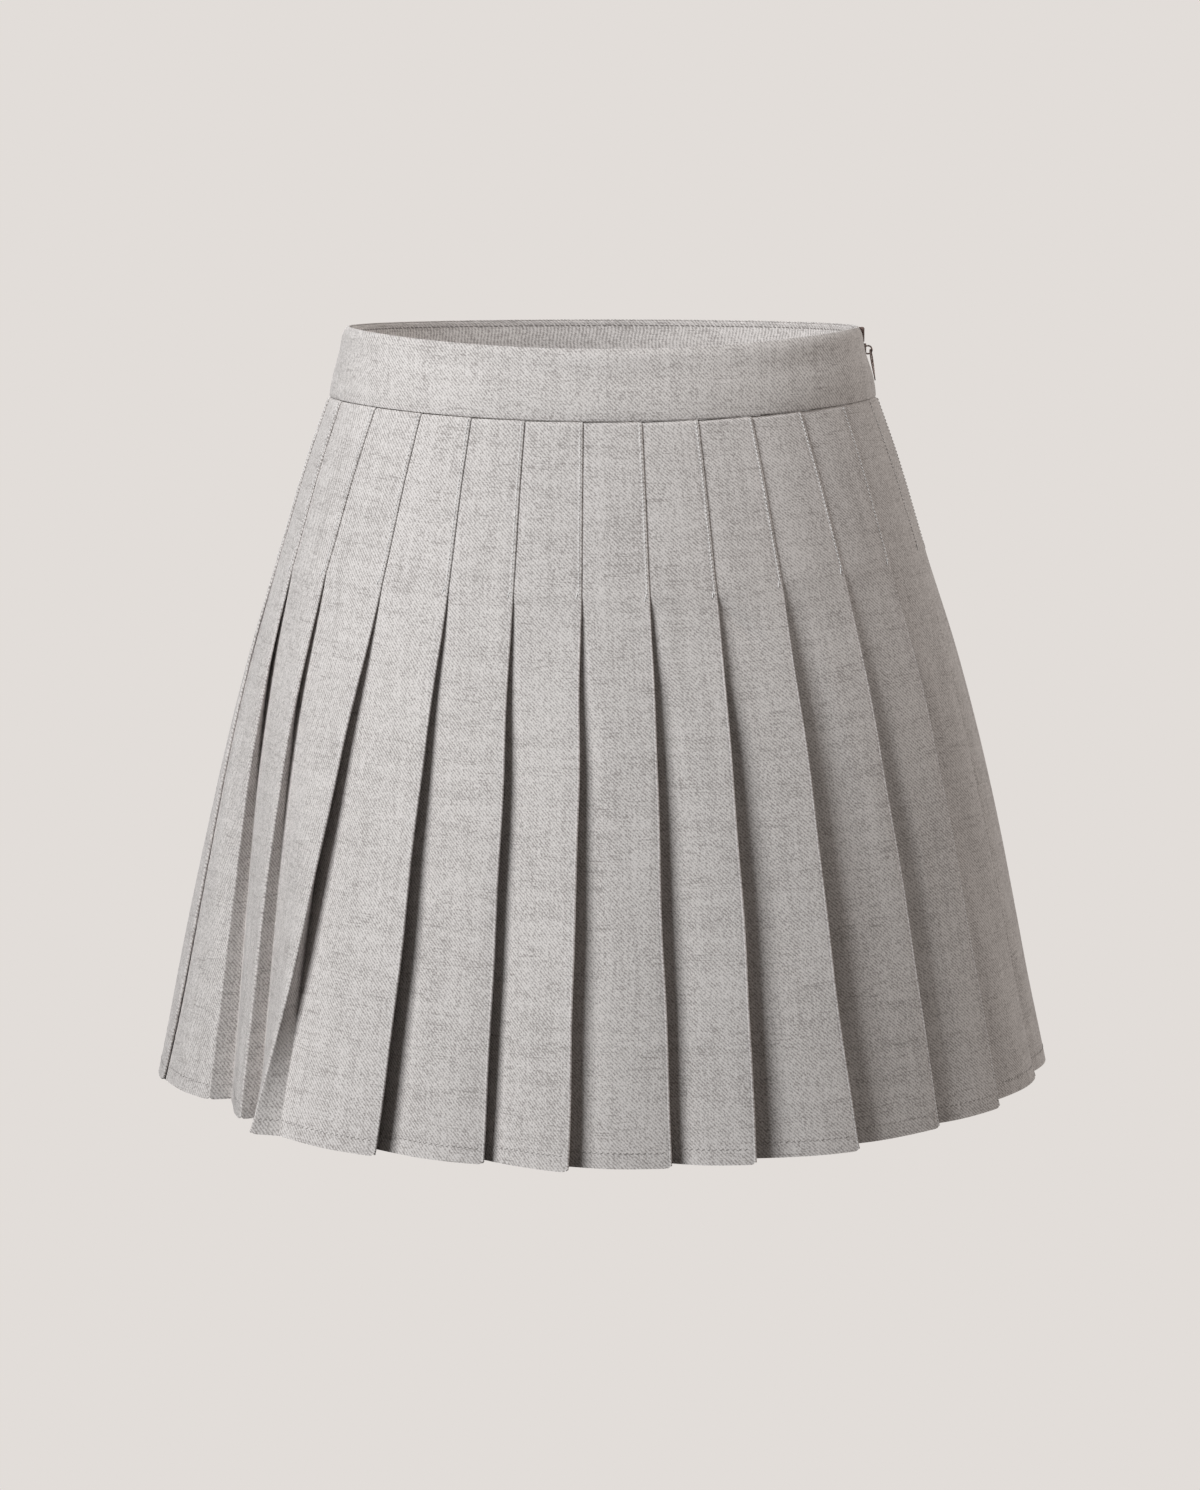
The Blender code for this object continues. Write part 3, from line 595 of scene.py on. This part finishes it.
def stitch_mesh(name, stitches, width, height):
    """Thread stitches in one mesh. Each is a start, an end and the cloth's normal."""
    sides, rings = 6, len(STITCH_PROFILE)
    points, faces = [], []
    for start, end, normal in stitches:
        side = np.cross(end - start, normal)
        side = side / np.linalg.norm(side)
        base = len(points)
        for share, swell, lift in STITCH_PROFILE:
            middle = start + (end - start) * share + normal * (lift * height)
            for k in range(sides):
                a = 2 * pi * k / sides
                points.append(middle + side * (cos(a) * width / 2 * swell)
                              + normal * (sin(a) * height / 2 * swell))
        points += [start - normal * height * 0.5, end - normal * height * 0.5]
        faces += tube_faces(rings, sides, base=base)
        last, tip = base + (rings - 1) * sides, base + rings * sides
        for k in range(sides):
            m = (k + 1) % sides
            faces += [(tip, base + m, base + k), (tip + 1, last + k, last + m)]
    return mesh_from(name, points, faces, 180)


def surface_point(ring, place, normal, lift):
    """A point on the outer face of the cloth and the face's normal, in space."""
    spots = place[None, :] + normal[None, :] * np.array([[lift], [lift + 1.0 * MM]])
    pair = ring.points(spots[:, 0], spots[:, 1])
    out = pair[1] - pair[0]
    return pair[0], out / np.linalg.norm(out)


def edge_stitches():
    """The lines of stitching that hold the pleats down, each with its bar of back stitches."""
    pitch, length, slant = 1.75, 1.55, 0.16
    for index in range(1, len(PLEATS) + 1):
        side = "front" if index <= LAST_FRONT_PLEAT else "back"
        stitch_end = SKIRT_TOP - PLEATS[index % len(PLEATS)]["stitch_drop"]

        def spot(level, from_edge):
            ring = Ring(level)
            here, before = pleat_at(ring, index), pleat_at(ring, index - 1)
            direction = heading(before["valley"], here["crest"], before["radius"] + here["radius"], 1)
            normal = turned(direction + pi / 2)
            end = here["crest"] + normal * here["radius"]
            place = end - turned(direction) * from_edge * MM
            return surface_point(ring, place, normal, CLOTH_THICKNESS / 2)

        level = SKIRT_TOP - 0.6
        while level - length > stitch_end:
            a, out = spot(level, STITCH_FROM_EDGE + slant)
            b, _ = spot(level - length, STITCH_FROM_EDGE - slant)
            yield side, a, b, out
            level -= pitch
        for step in range(4):
            a, out = spot(stitch_end + 2.6 - step * 0.6, STITCH_FROM_EDGE + 0.5 + 0.15 * step)
            b, _ = spot(stitch_end + 0.9 - step * 0.6, STITCH_FROM_EDGE + 0.9 + 0.15 * step)
            yield side, a, b, out


def hem_stitches():
    """Topstitching round the hem on the panels and returns, seen outside and inside."""
    height, pitch, length, slant = 7.2, 2.9, 2.1, 0.5
    low, high = Ring(HEM + height - slant), Ring(HEM + height + slant)
    for side, (first, last) in PLEAT_SPANS.items():
        path_low = fold_path(low, first, last)
        path_high = fold_path(high, first, last)
        steps = np.linalg.norm(np.diff(path_low[0], axis=0), axis=1)
        travelled = np.concatenate([[0.0], np.cumsum(steps)])
        count = int(travelled[-1] / (pitch * MM))
        for k in range(count):
            s0 = (k + 0.2) * pitch * MM
            s1 = s0 + length * MM
            if max(np.interp((s0, s1), travelled, path_low[3])) > 0.6:
                continue
            ends = []
            for s, ring, path in ((s0, low, path_low), (s1, high, path_high)):
                place, normal = (np.array([np.interp(s, travelled, rows[:, i]) for i in (0, 1)])
                                 for rows in path[:2])
                ends.append((ring, place, normal / np.linalg.norm(normal)))
            for facing in (1, -1):
                lift = CLOTH_THICKNESS / 2 + (HEM_FOLD_THICKNESS if facing < 0 else 0.0)
                (a, out), (b, _) = (surface_point(ring, place, normal * facing, lift)
                                    for ring, place, normal in ends)
                yield side, a, b, out


def understitches():
    """Small stitches along the top of the facing, inside the waist."""
    pitch, length, level = 2.8, 2.0, -3.4
    ring, upper = Ring(level), Ring(level + 0.5)
    spans = halves(1.5 * MM, ZIP_GAP / 2 + TAPE_WIDTH + 1.5 * MM)
    depth = smooth_value(FACING_TABLE, level) * MM + FACING_THICKNESS
    inwards = np.array([0.0, -1.0])
    for side, span in spans.items():
        s, end = (ring.along(degrees) + offset for degrees, offset in span)
        while s + length * MM < end:
            (a, inside), (b, _) = (
                surface_point(r, np.array([at, facing_relief(at, level) - depth]), inwards, 0.0)
                for r, at in ((ring, s), (upper, s + length * MM)))
            yield side, a, b, inside
            s += pitch * MM


# Materials

class Graph:
    """A new material, with short calls that add nodes to it."""

    def __init__(self, name):
        self.material = bpy.data.materials.new(name)
        self.material.use_nodes = True
        self.nodes = self.material.node_tree.nodes
        self.shader = self.nodes.get("Principled BSDF")

    def fill(self, node, inputs):
        """Gives a node's inputs, by name or number, a value or another node's output."""
        for key, value in inputs.items():
            if isinstance(value, bpy.types.NodeSocket):
                self.material.node_tree.links.new(value, node.inputs[key])
            else:
                node.inputs[key].default_value = value

    def node(self, kind, inputs, **settings):
        """The outputs of a new node."""
        made = self.nodes.new(kind)
        for key, value in settings.items():
            setattr(made, key, value)
        self.fill(made, inputs)
        return made.outputs

    def math(self, operation, *inputs, clamp=False):
        """One sum of values and other nodes' outputs."""
        inputs = dict(enumerate(inputs))
        return self.node("ShaderNodeMath", inputs, operation=operation, use_clamp=clamp)[0]

    def scaled(self, value, factor, added=0.0):
        """A value times a factor, with something added."""
        return self.math("ADD", self.math("MULTIPLY", value, factor), added)

    def wave(self, value, pitch):
        """Waves of a pitch."""
        return self.math("SINE", self.math("MULTIPLY", value, 2 * pi / pitch))

    def axes(self, place):
        """The three parts of a place."""
        return list(self.node("ShaderNodeSeparateXYZ", {0: place}))

    def weave(self):
        """The place on the cloth, across it and down it."""
        return self.axes(self.node("ShaderNodeUVMap", {}, uv_map="weave")[0])[:2]

    def inside(self):
        """The place in the piece."""
        return self.node("ShaderNodeTexCoord", {})["Object"]

    def noise(self, place, across, down, detail, roughness, offset):
        """Noise whose grains are so many mm across and down the cloth."""
        u, v = place
        spot = self.node("ShaderNodeCombineXYZ", {
            0: self.math("MULTIPLY", u, 1.0 / (across * MM)),
            1: self.math("MULTIPLY", v, 1.0 / (down * MM)), 2: offset})
        return self.node("ShaderNodeTexNoise", {
            "Vector": spot[0], "Scale": 1.0, "Detail": detail, "Roughness": roughness})[0]

    def band(self, value, low, high):
        """0 below low and 1 above high."""
        return self.node("ShaderNodeMapRange", {"Value": value, "From Min": low, "From Max": high},
                         interpolation_type="SMOOTHSTEP")[0]

    def colour(self, share, one, other):
        """The surface's colour, so far from one to another."""
        mixed = self.node("ShaderNodeMix", {"Factor": share, 6: (*one, 1.0), 7: (*other, 1.0)},
                          data_type="RGBA")[2]
        self.fill(self.shader, {"Base Color": mixed})

    def bump(self, height, strength, distance):
        """Relief finer than the mesh."""
        made = self.node("ShaderNodeBump", {"Strength": strength, "Distance": distance,
                                            "Height": height})[0]
        self.fill(self.shader, {"Normal": made})


CLOTH_LIGHT = (0.655, 0.618, 0.600)
CLOTH_DARK = (0.306, 0.280, 0.268)
TWILL_PITCH = 1.35 * MM
TWILL_WANDER = 0.9 * MM  # how far the twill's lines stray
THREAD_PITCH = 0.62 * MM
TWILL_TONE = 0.44  # how much the twill changes the tone
STREAK_TONE = 0.62  # how much darker a slub is
FLECK_TONE = 0.45
MIDDLE_TONE = 0.70
# Noises of the cloth: their grain across and down it in mm, detail, roughness and own offset
NOISES = (
    ("wander", 3.0, 3.0, 2.0, 0.5, 0.0),
    ("fibre", 0.70, 0.80, 2.0, 0.6, 1.7),
    ("melange", 1.6, 2.6, 3.0, 0.6, 4.1),
    ("slub", 11.0, 0.75, 2.0, 0.55, 7.3),
    ("slub_places", 16.0, 9.0, 1.0, 0.5, 9.2),
    ("warp", 1.0, 26.0, 2.0, 0.5, 12.5),
    ("bands", 5.5, 120.0, 2.0, 0.5, 15.1),
    ("bars", 70.0, 5.0, 2.0, 0.5, 18.7),
    ("blotch", 24.0, 30.0, 2.0, 0.5, 21.9),
    ("flecks", 0.9, 0.9, 1.0, 0.5, 25.3),
)
# How much the yarns change the tone
YARN_TONES = (("fibre", 2.60), ("melange", 1.20), ("warp", 0.60), ("bands", 0.45), ("bars", 0.45),
              ("blotch", 0.25))


def cloth_material(name):
    """Light heather grey suiting: a fine twill with melange yarns and faint darker slubs."""
    g = Graph(name)
    u, v = place = g.weave()
    noises = {row[0]: g.noise(place, *row[1:]) for row in NOISES}
    diagonal = g.scaled(noises["wander"], TWILL_WANDER, g.math("ADD", u, v))
    twill = g.wave(diagonal, TWILL_PITCH * sqrt(2))
    twill = g.scaled(twill, 0.8, g.math("MULTIPLY", g.wave(u, THREAD_PITCH), 0.2))
    tone = g.math("MULTIPLY", twill, TWILL_TONE)
    for yarn, strength in YARN_TONES:
        tone = g.scaled(g.math("SUBTRACT", noises[yarn], 0.5), strength, tone)
    streak = g.math("MULTIPLY", g.band(noises["slub"], 0.48, 0.78),
                    g.band(noises["slub_places"], 0.35, 0.65))
    tone = g.scaled(streak, -STREAK_TONE, tone)
    tone = g.scaled(g.band(noises["flecks"], 0.62, 0.74), -FLECK_TONE, tone)
    g.colour(g.math("ADD", tone, MIDDLE_TONE, clamp=True), CLOTH_DARK, CLOTH_LIGHT)
    g.fill(g.shader, {"Roughness": 0.92, "Specular IOR Level": 0.25, "Sheen Weight": 0.12,
                      "Sheen Roughness": 0.5})
    g.bump(g.scaled(twill, 0.5, g.math("MULTIPLY", noises["fibre"], 0.9)), 0.35, 0.12 * MM)
    return g.material


THREAD_PLY = 0.45 * MM  # pitch of the thread's twist


def thread_material(name, colour):
    """Twisted sewing thread."""
    g = Graph(name)
    x, _, z = g.axes(g.inside())
    ply = g.wave(g.math("ADD", z, x), THREAD_PLY)
    g.colour(g.scaled(ply, 0.3, 0.5), tuple(c * 0.72 for c in colour), colour)
    g.fill(g.shader, {"Roughness": 0.7})
    return g.material


TAPE_ROW_PITCH = 0.8 * MM


def tape_material():
    """Woven zip tape: a fine herringbone in grey."""
    g = Graph("zip_tape_weave")
    u, v = g.weave()
    rows = g.wave(g.math("ADD", v, g.math("PINGPONG", u, 1.0 * MM)), TAPE_ROW_PITCH)
    g.colour(g.scaled(rows, 0.35, 0.5), (0.30, 0.285, 0.28), (0.46, 0.44, 0.43))
    g.fill(g.shader, {"Roughness": 0.85})
    g.bump(rows, 0.4, 0.1 * MM)
    return g.material


GLOSS_WEAR = 0.12  # how far the roughness of hard pieces strays


def hard_material(name, colour, roughness, metallic):
    """Plated metal or moulded plastic with faint wear in its gloss."""
    g = Graph(name)
    noise = g.node("ShaderNodeTexNoise", {"Vector": g.inside(), "Scale": 900.0, "Detail": 3.0})[0]
    lighter = tuple(min(1.0, c * 1.5 + 0.02) for c in colour)
    g.colour(g.band(noise, 0.35, 0.75), colour, lighter)
    g.fill(g.shader, {"Roughness": g.scaled(noise, GLOSS_WEAR * 2, roughness - GLOSS_WEAR),
                      "Metallic": metallic})
    return g.material


# Zip

TAPE_ROWS = ((-1.5, 1.5), (-15.0, 1.7), (-33.5, 6.1), (-70.0, 6.2), (-112.0, 6.1), (-140.0, 7.6),
             (-165.0, 8.8))  # level, and depth behind the outer surface, in mm
TAPE_THICKNESS = 0.6  # mm
COIL_TOP = -15.8
COIL_BOTTOM = -162.0
TOOTH_PITCH = 1.5
TOOTH_HALF_WIDTH = 0.8 * MM
TOOTH_HALF_DEPTH = 0.55 * MM
TOOTH_OFFSET = 0.35 * MM  # of a tooth's middle from the middle of the zip
TOOTH_SLANT = 0.25 * MM
TOOTH_WIRE = 0.2 * MM
TOOTH_INSET = 0.7  # mm behind the face of the tape
TOP_END_HEIGHT = (-8.5 * MM, -0.6 * MM)
TOP_END_RING = -4.5
TOP_END_HALF_WIDTH = 1.2 * MM
TOP_END_DEPTH = 2.4 * MM
TOP_END_PROUD = 1.1 * MM
TOP_END_CORNER = 1.0 * MM
SLIDER_LEVEL = -12.0
SLIDER_HALF_HEIGHT = 3.2 * MM
SLIDER_HALF_WIDTH = 1.15 * MM
SLIDER_THICKNESS = 2.7 * MM
SLIDER_CORNER = 0.35 * MM
SLIDER_PROUD = 0.5 * MM
BRIDGE_RADIUS = 2.0 * MM
BRIDGE_WIRE = 0.4 * MM
BRIDGE_STAND = 0.9 * MM
BRIDGE_REACH = 118  # degrees each way from straight out
BRIDGE_CENTRE = Vector((Ring(SLIDER_LEVEL).half_width + SLIDER_PROUD + BRIDGE_STAND, 0,
                        SLIDER_LEVEL * MM))
HANG_ANGLE = 45.0  # degrees below straight out, where the pull hangs
PULL_LEAN = 9.5
PULL_TWIST = 14.0
PULL_LENGTH = 16.0 * MM
PULL_HALF_WIDTH = 3.25 * MM
PULL_THICKNESS = 0.6 * MM
PULL_RIM = 0.7 * MM
PULL_SLOT_LENGTH = 11.0 * MM
PULL_SLOT_HALF_WIDTH = 1.9 * MM
PULL_HANG = 1.2 * MM


def make_tapes(finish):
    """The two tapes behind the band and down inside the skirt."""
    near, far = ZIP_GAP / 2, ZIP_GAP / 2 + TAPE_WIDTH
    spans = {"front": ((ZIP_PLACE, -far), (ZIP_PLACE, -near)),
             "back": ((ZIP_PLACE, near), (ZIP_PLACE, far))}
    levels = falling(((-1.5, 2.5), (-33.5, 1.0), (-37.0, 6.0)), -165.0)
    rows = [(level, smooth_value(TAPE_ROWS, level)) for level in levels]
    for side, span in spans.items():
        outer, lengths = strip_grid(rows, span, 10)
        behind = [(level, depth + TAPE_THICKNESS) for level, depth in rows]
        inner, _ = strip_grid(behind, span, 10)
        v = np.repeat(np.array(levels)[:, None] * MM, 11, axis=1)
        mesh = grid_mesh(f"tape_{side}", outer, inner, lengths, v)
        piece = link(mesh, finish)
        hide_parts(f"zip_tape_{side}")


def ring_tube(centres, radius, sides, close_loop=False):
    """Points and faces of a tube through centres."""
    points = []
    count = len(centres)
    for i, centre in enumerate(centres):
        after = centres[(i + 1) % count] if close_loop or i + 1 < count else centre
        before = centres[i - 1] if close_loop or i > 0 else centre
        along = (after - before).normalized()
        aside = Vector((0, 1, 0)) if abs(along.y) < 0.9 else Vector((1, 0, 0))
        first = along.cross(aside).normalized()
        second = along.cross(first)
        for k in range(sides):
            a = 2 * pi * k / sides
            points.append(centre + (first * cos(a) + second * sin(a)) * radius)
    faces = tube_faces(count, sides, close_loop)
    if not close_loop:
        faces.append(tuple(range(sides))[::-1])
        faces.append(tuple(range((count - 1) * sides, count * sides)))
    return points, faces


def make_coil(finish):
    """Interlocked nylon teeth down the zip."""
    points, faces = [], []
    level, turn = COIL_TOP, 0
    while level > COIL_BOTTOM:
        x = Ring(level).half_width - (smooth_value(TAPE_ROWS, level) + TOOTH_INSET) * MM
        side = 1 if turn % 2 else -1
        loop = []
        for k in range(8):
            a = 2 * pi * k / 8
            y = side * TOOTH_OFFSET + cos(a) * TOOTH_HALF_WIDTH
            z = level * MM + TOOTH_SLANT * cos(a) * side
            loop.append(Vector((x + sin(a) * TOOTH_HALF_DEPTH, y, z)))
        tooth_points, tooth_faces = ring_tube(loop, TOOTH_WIRE, 5, close_loop=True)
        base = len(points)
        points += tooth_points
        faces += [tuple(i + base for i in face) for face in tooth_faces]
        level -= TOOTH_PITCH / 2
        turn += 1
    piece = link(mesh_from("zip_teeth", points, faces, 80), finish)
    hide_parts("zip_coil")


def bevelled_block(name, depth, half_width, height, corner, segments, finish):
    """A block in the line of the zip with rounded edges. Depth and height are from and to."""
    low, high = (Vector((x, y, z)) for x, y, z in zip(depth, (-half_width, half_width), height))
    bm = bmesh.new()
    bmesh.ops.create_cube(bm, size=1.0)
    bmesh.ops.scale(bm, verts=bm.verts, vec=high - low)
    bmesh.ops.translate(bm, verts=bm.verts, vec=(low + high) / 2)
    bmesh.ops.bevel(bm, geom=bm.edges, offset=corner, segments=segments, affect="EDGES", profile=0.5)
    mesh = bpy.data.meshes.new(name)
    bm.to_mesh(mesh)
    bm.free()
    return link(smooth(mesh, 50), finish)


def make_slider(metal):
    """The slider's body and the wire bridge that the pull hangs on."""
    face = BRIDGE_CENTRE.x - BRIDGE_STAND
    height = (BRIDGE_CENTRE.z - SLIDER_HALF_HEIGHT, BRIDGE_CENTRE.z + SLIDER_HALF_HEIGHT)
    body = bevelled_block("slider_body", (face - SLIDER_THICKNESS, face), SLIDER_HALF_WIDTH, height,
                          SLIDER_CORNER, 4, metal)
    arc = [BRIDGE_CENTRE + Vector((cos(a), 0, sin(a))) * BRIDGE_RADIUS
           for a in np.radians(np.linspace(BRIDGE_REACH, -BRIDGE_REACH, 30))]
    points, faces = ring_tube(arc, BRIDGE_WIRE, 14)
    wire = link(mesh_from("slider_bridge", points, faces, 45), metal)
    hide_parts("zip_slider")
    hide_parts("zip_slider")


def teardrop(length, half_width, count, lowest):
    """Outline of a drop: round at the top, narrowing to its point, from its top round."""
    points = []
    for i in range(count):
        turn = 2 * pi * i / count
        rise = (1 - cos(turn)) / 2
        width = half_width * sin(turn)
        width *= sqrt(max(0.0, sin(pi * rise ** 1.6 / 2)))
        points.append((width, lowest + length * rise))
    return points


def make_pull(metal):
    """The drop-shaped pull, a rounded flat rim round its slot."""
    hang = radians(HANG_ANGLE)
    pivot = BRIDGE_CENTRE + Vector((cos(hang), 0, -sin(hang))) * BRIDGE_RADIUS
    lean, twist = radians(PULL_LEAN), radians(PULL_TWIST)
    upwards = Vector((-sin(lean), 0, cos(lean)))
    untwisted = Vector((cos(lean), 0, sin(lean)))
    across = Vector((0, cos(twist), 0)) + untwisted * sin(twist)
    facing = upwards.cross(across)
    count = 72
    outline = teardrop(PULL_LENGTH, PULL_HALF_WIDTH, count, PULL_HANG + PULL_RIM - PULL_LENGTH)
    slot = teardrop(PULL_SLOT_LENGTH, PULL_SLOT_HALF_WIDTH, count, PULL_HANG - PULL_SLOT_LENGTH)
    upper = [(0.0, 0.35), (0.05, 0.46), (0.16, 0.5), (0.84, 0.5), (0.95, 0.46), (1.0, 0.35)]
    section = upper + [(share, -depth) for share, depth in reversed(upper)]
    points = []
    for (ox, oy), (sx, sy) in zip(outline, slot):
        for share, depth in section:
            x, y = between(ox, sx, share), between(oy, sy, share)
            points.append(pivot + across * x + upwards * y + facing * (depth * PULL_THICKNESS))
    mesh = mesh_from("pull_drop", points, tube_faces(count, len(section), closed=True), 35)
    piece = link(mesh, metal, "zip_pull")
    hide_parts("zip_pull")


def make_top_end(finish):
    """The end of the zip between the ends of the waistband; its dark brown is partly its own colour and
    partly painted shade on the band's edge.
    """
    surface = Ring(TOP_END_RING).half_width
    piece = bevelled_block("top_end", (surface - TOP_END_DEPTH, surface + TOP_END_PROUD),
                           TOP_END_HALF_WIDTH, TOP_END_HEIGHT, TOP_END_CORNER, 6, finish)
    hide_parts("zip_top_end")


# Light, stage and camera

BACKDROP = (0.7605, 0.7230, 0.6939)
# Name, height, maker and sizes of the floor and the dome
STAGE = (
    ("floor", -1.3, bmesh.ops.create_grid, {"x_segments": 2, "y_segments": 2, "size": 14.0}),
    ("backdrop", 0.0, bmesh.ops.create_uvsphere,
     {"u_segments": 48, "v_segments": 24, "radius": 12.0}),
)
CAMERA_PLACE = (-1.3 * MM, -2.0, 71.3 * MM)
CAMERA_DOWN = 0.14068  # radians below level
CAMERA_LENS = 96.1


def backdrop_material():
    """An even glow for the floor and the dome."""
    g = Graph("pale_backdrop")
    g.nodes.clear()
    glow = g.node("ShaderNodeEmission", {"Color": (*BACKDROP, 1.0)})[0]
    g.node("ShaderNodeOutputMaterial", {0: glow})
    return g.material


def make_stage():
    """A pale floor far below and a pale dome round everything. Only the camera sees them."""
    finish = backdrop_material()
    for name, height, make_shape, sizes in STAGE:
        bm = bmesh.new()
        make_shape(bm, **sizes)
        mesh = bpy.data.meshes.new(name)
        bm.to_mesh(mesh)
        bm.free()
        stage = put(name, mesh)
        stage.location.z = height
        mesh.materials.append(finish)
        for ray in ("diffuse", "glossy", "transmission", "volume_scatter", "shadow"):
            setattr(stage, f"visible_{ray}", False)


LIGHT_AIM = Vector((0, 0, -0.2))
LIGHT_DISTANCE = 2.7
# Degrees to the right of the front and above the horizon, size in metres, watts and colour
LIGHTS = (
    ("key", -46, 33, (1.2, 1.0), 83.0, (0.98, 1.0, 1.01)),
    ("front_fill", 0, 40, (1.4, 1.2), 3.0, (1.0, 1.0, 1.0)),
    ("right_fill", 88, 22, (1.0, 1.0), 31.0, (1.05, 0.99, 0.94)),
    ("back_left", -165, 25, (1.4, 1.0), 40.0, (1.0, 1.0, 1.0)),
    ("back_right", 140, 20, (1.4, 1.0), 14.0, (1.0, 0.99, 0.97)),
)
# A weak light inside the hollow, for what bounces onto the inside of the waistband: place, aim, watts
WAIST_LIGHT = ((0.0, -0.03, -0.13), (0.01, 0.10, -0.01), 0.07)
AMBIENT = 0.03
AMBIENT_COLOUR = (1.1, 1.0, 0.9, 1.0)


def area_light(name, place, size, power, colour, aim):
    """A soft light that the camera doesn't see."""
    light = bpy.data.lights.new(name, "AREA")
    light.shape = "RECTANGLE"
    light.size, light.size_y = size
    light.energy = power
    light.color = colour
    lamp = put(name, light)
    lamp.location = place
    lamp.rotation_euler = (aim - place).to_track_quat("-Z", "Y").to_euler()
    lamp.visible_camera = False


def make_light():
    """A low ambient, the soft lights round the skirt and the weak one inside its waist."""
    world = bpy.data.worlds.new("ambient")
    world.use_nodes = True
    glow = world.node_tree.nodes["Background"].inputs
    glow["Color"].default_value = AMBIENT_COLOUR
    glow["Strength"].default_value = AMBIENT
    bpy.context.scene.world = world
    for name, azimuth, rise, size, power, colour in LIGHTS:
        turn, up = radians(azimuth), radians(rise)
        away = Vector((cos(up) * sin(turn), -cos(up) * cos(turn), sin(up)))
        area_light(name, LIGHT_AIM + away * LIGHT_DISTANCE, size, power, colour, LIGHT_AIM)
    place, aim, power = WAIST_LIGHT
    area_light("waist_light", Vector(place), (0.1, 0.1), power, (1.0, 1.0, 1.0), Vector(aim))


def make_camera():
    """The camera of the photo, fitted to its waist, seam and hem curves."""
    camera = bpy.data.cameras.new("photo_camera")
    camera.sensor_width = 36.0
    camera.lens = CAMERA_LENS
    camera.clip_end = 60.0
    holder = put("photo_camera", camera)
    holder.location = CAMERA_PLACE
    holder.rotation_euler = Euler((pi / 2 - CAMERA_DOWN, 0, 0))
    bpy.context.scene.camera = holder
    bpy.context.scene.view_settings.view_transform = "Standard"


def main():
    cloth = cloth_material("heather_twill")
    # The edge thread's pale tone, paler than the cloth, is a painted highlight on the stitches that hold
    # the pleats down.
    thread = thread_material("edge_thread_painted_highlight", (0.80, 0.78, 0.77))
    # The hem thread's dark tone is painted shade where the hem stitches sink into the cloth.
    hem_thread_painted_shade = thread_material("hem_thread_painted_shade", (0.38, 0.355, 0.34))
    # The under thread's dark tone is painted shade along the sunken line of understitching inside the
    # waist.
    under_thread_painted_shade = thread_material("under_thread_painted_shade", (0.22, 0.20, 0.19))
    shells = {side: pleated_shell(f"pleats_{side}", *span, cloth)
              for side, span in PLEAT_SPANS.items()}
    rows = (("edge_stitches", edge_stitches(), 0.55 * MM, 0.42 * MM, thread),
            ("hem_stitches", hem_stitches(), 0.42 * MM, 0.22 * MM, hem_thread_painted_shade),
            ("understitches", understitches(), 0.60 * MM, 0.22 * MM, under_thread_painted_shade))
    sewn = {"front": [], "back": []}
    for label, sewing, width, height, finish in rows:
        found = list(sewing)
        for side in sewn:
            stitches = [stitch for at, *stitch in found if at == side]
            mesh = stitch_mesh(f"{label}_{side}", stitches, width, height)
            sewn[side].append(link(mesh, finish))
    for side, shell in shells.items():
        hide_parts(f"skirt_{side}")
        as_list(sewn[side][:2])
    make_waistband(cloth)
    make_tapes(tape_material())
    make_coil(hard_material("nylon_teeth", (0.34, 0.32, 0.31), 0.45, 0.0))
    # The zip end's dark brown is partly painted shade on the edge of the band beside it.
    make_top_end(hard_material("dark_brown_end", (0.13, 0.085, 0.075), 0.5, 0.0))
    metal = hard_material("gunmetal", (0.30, 0.235, 0.215), 0.42, 0.7)
    make_slider(metal)
    make_pull(metal)
    make_stage()
    make_light()
    make_camera()


main()
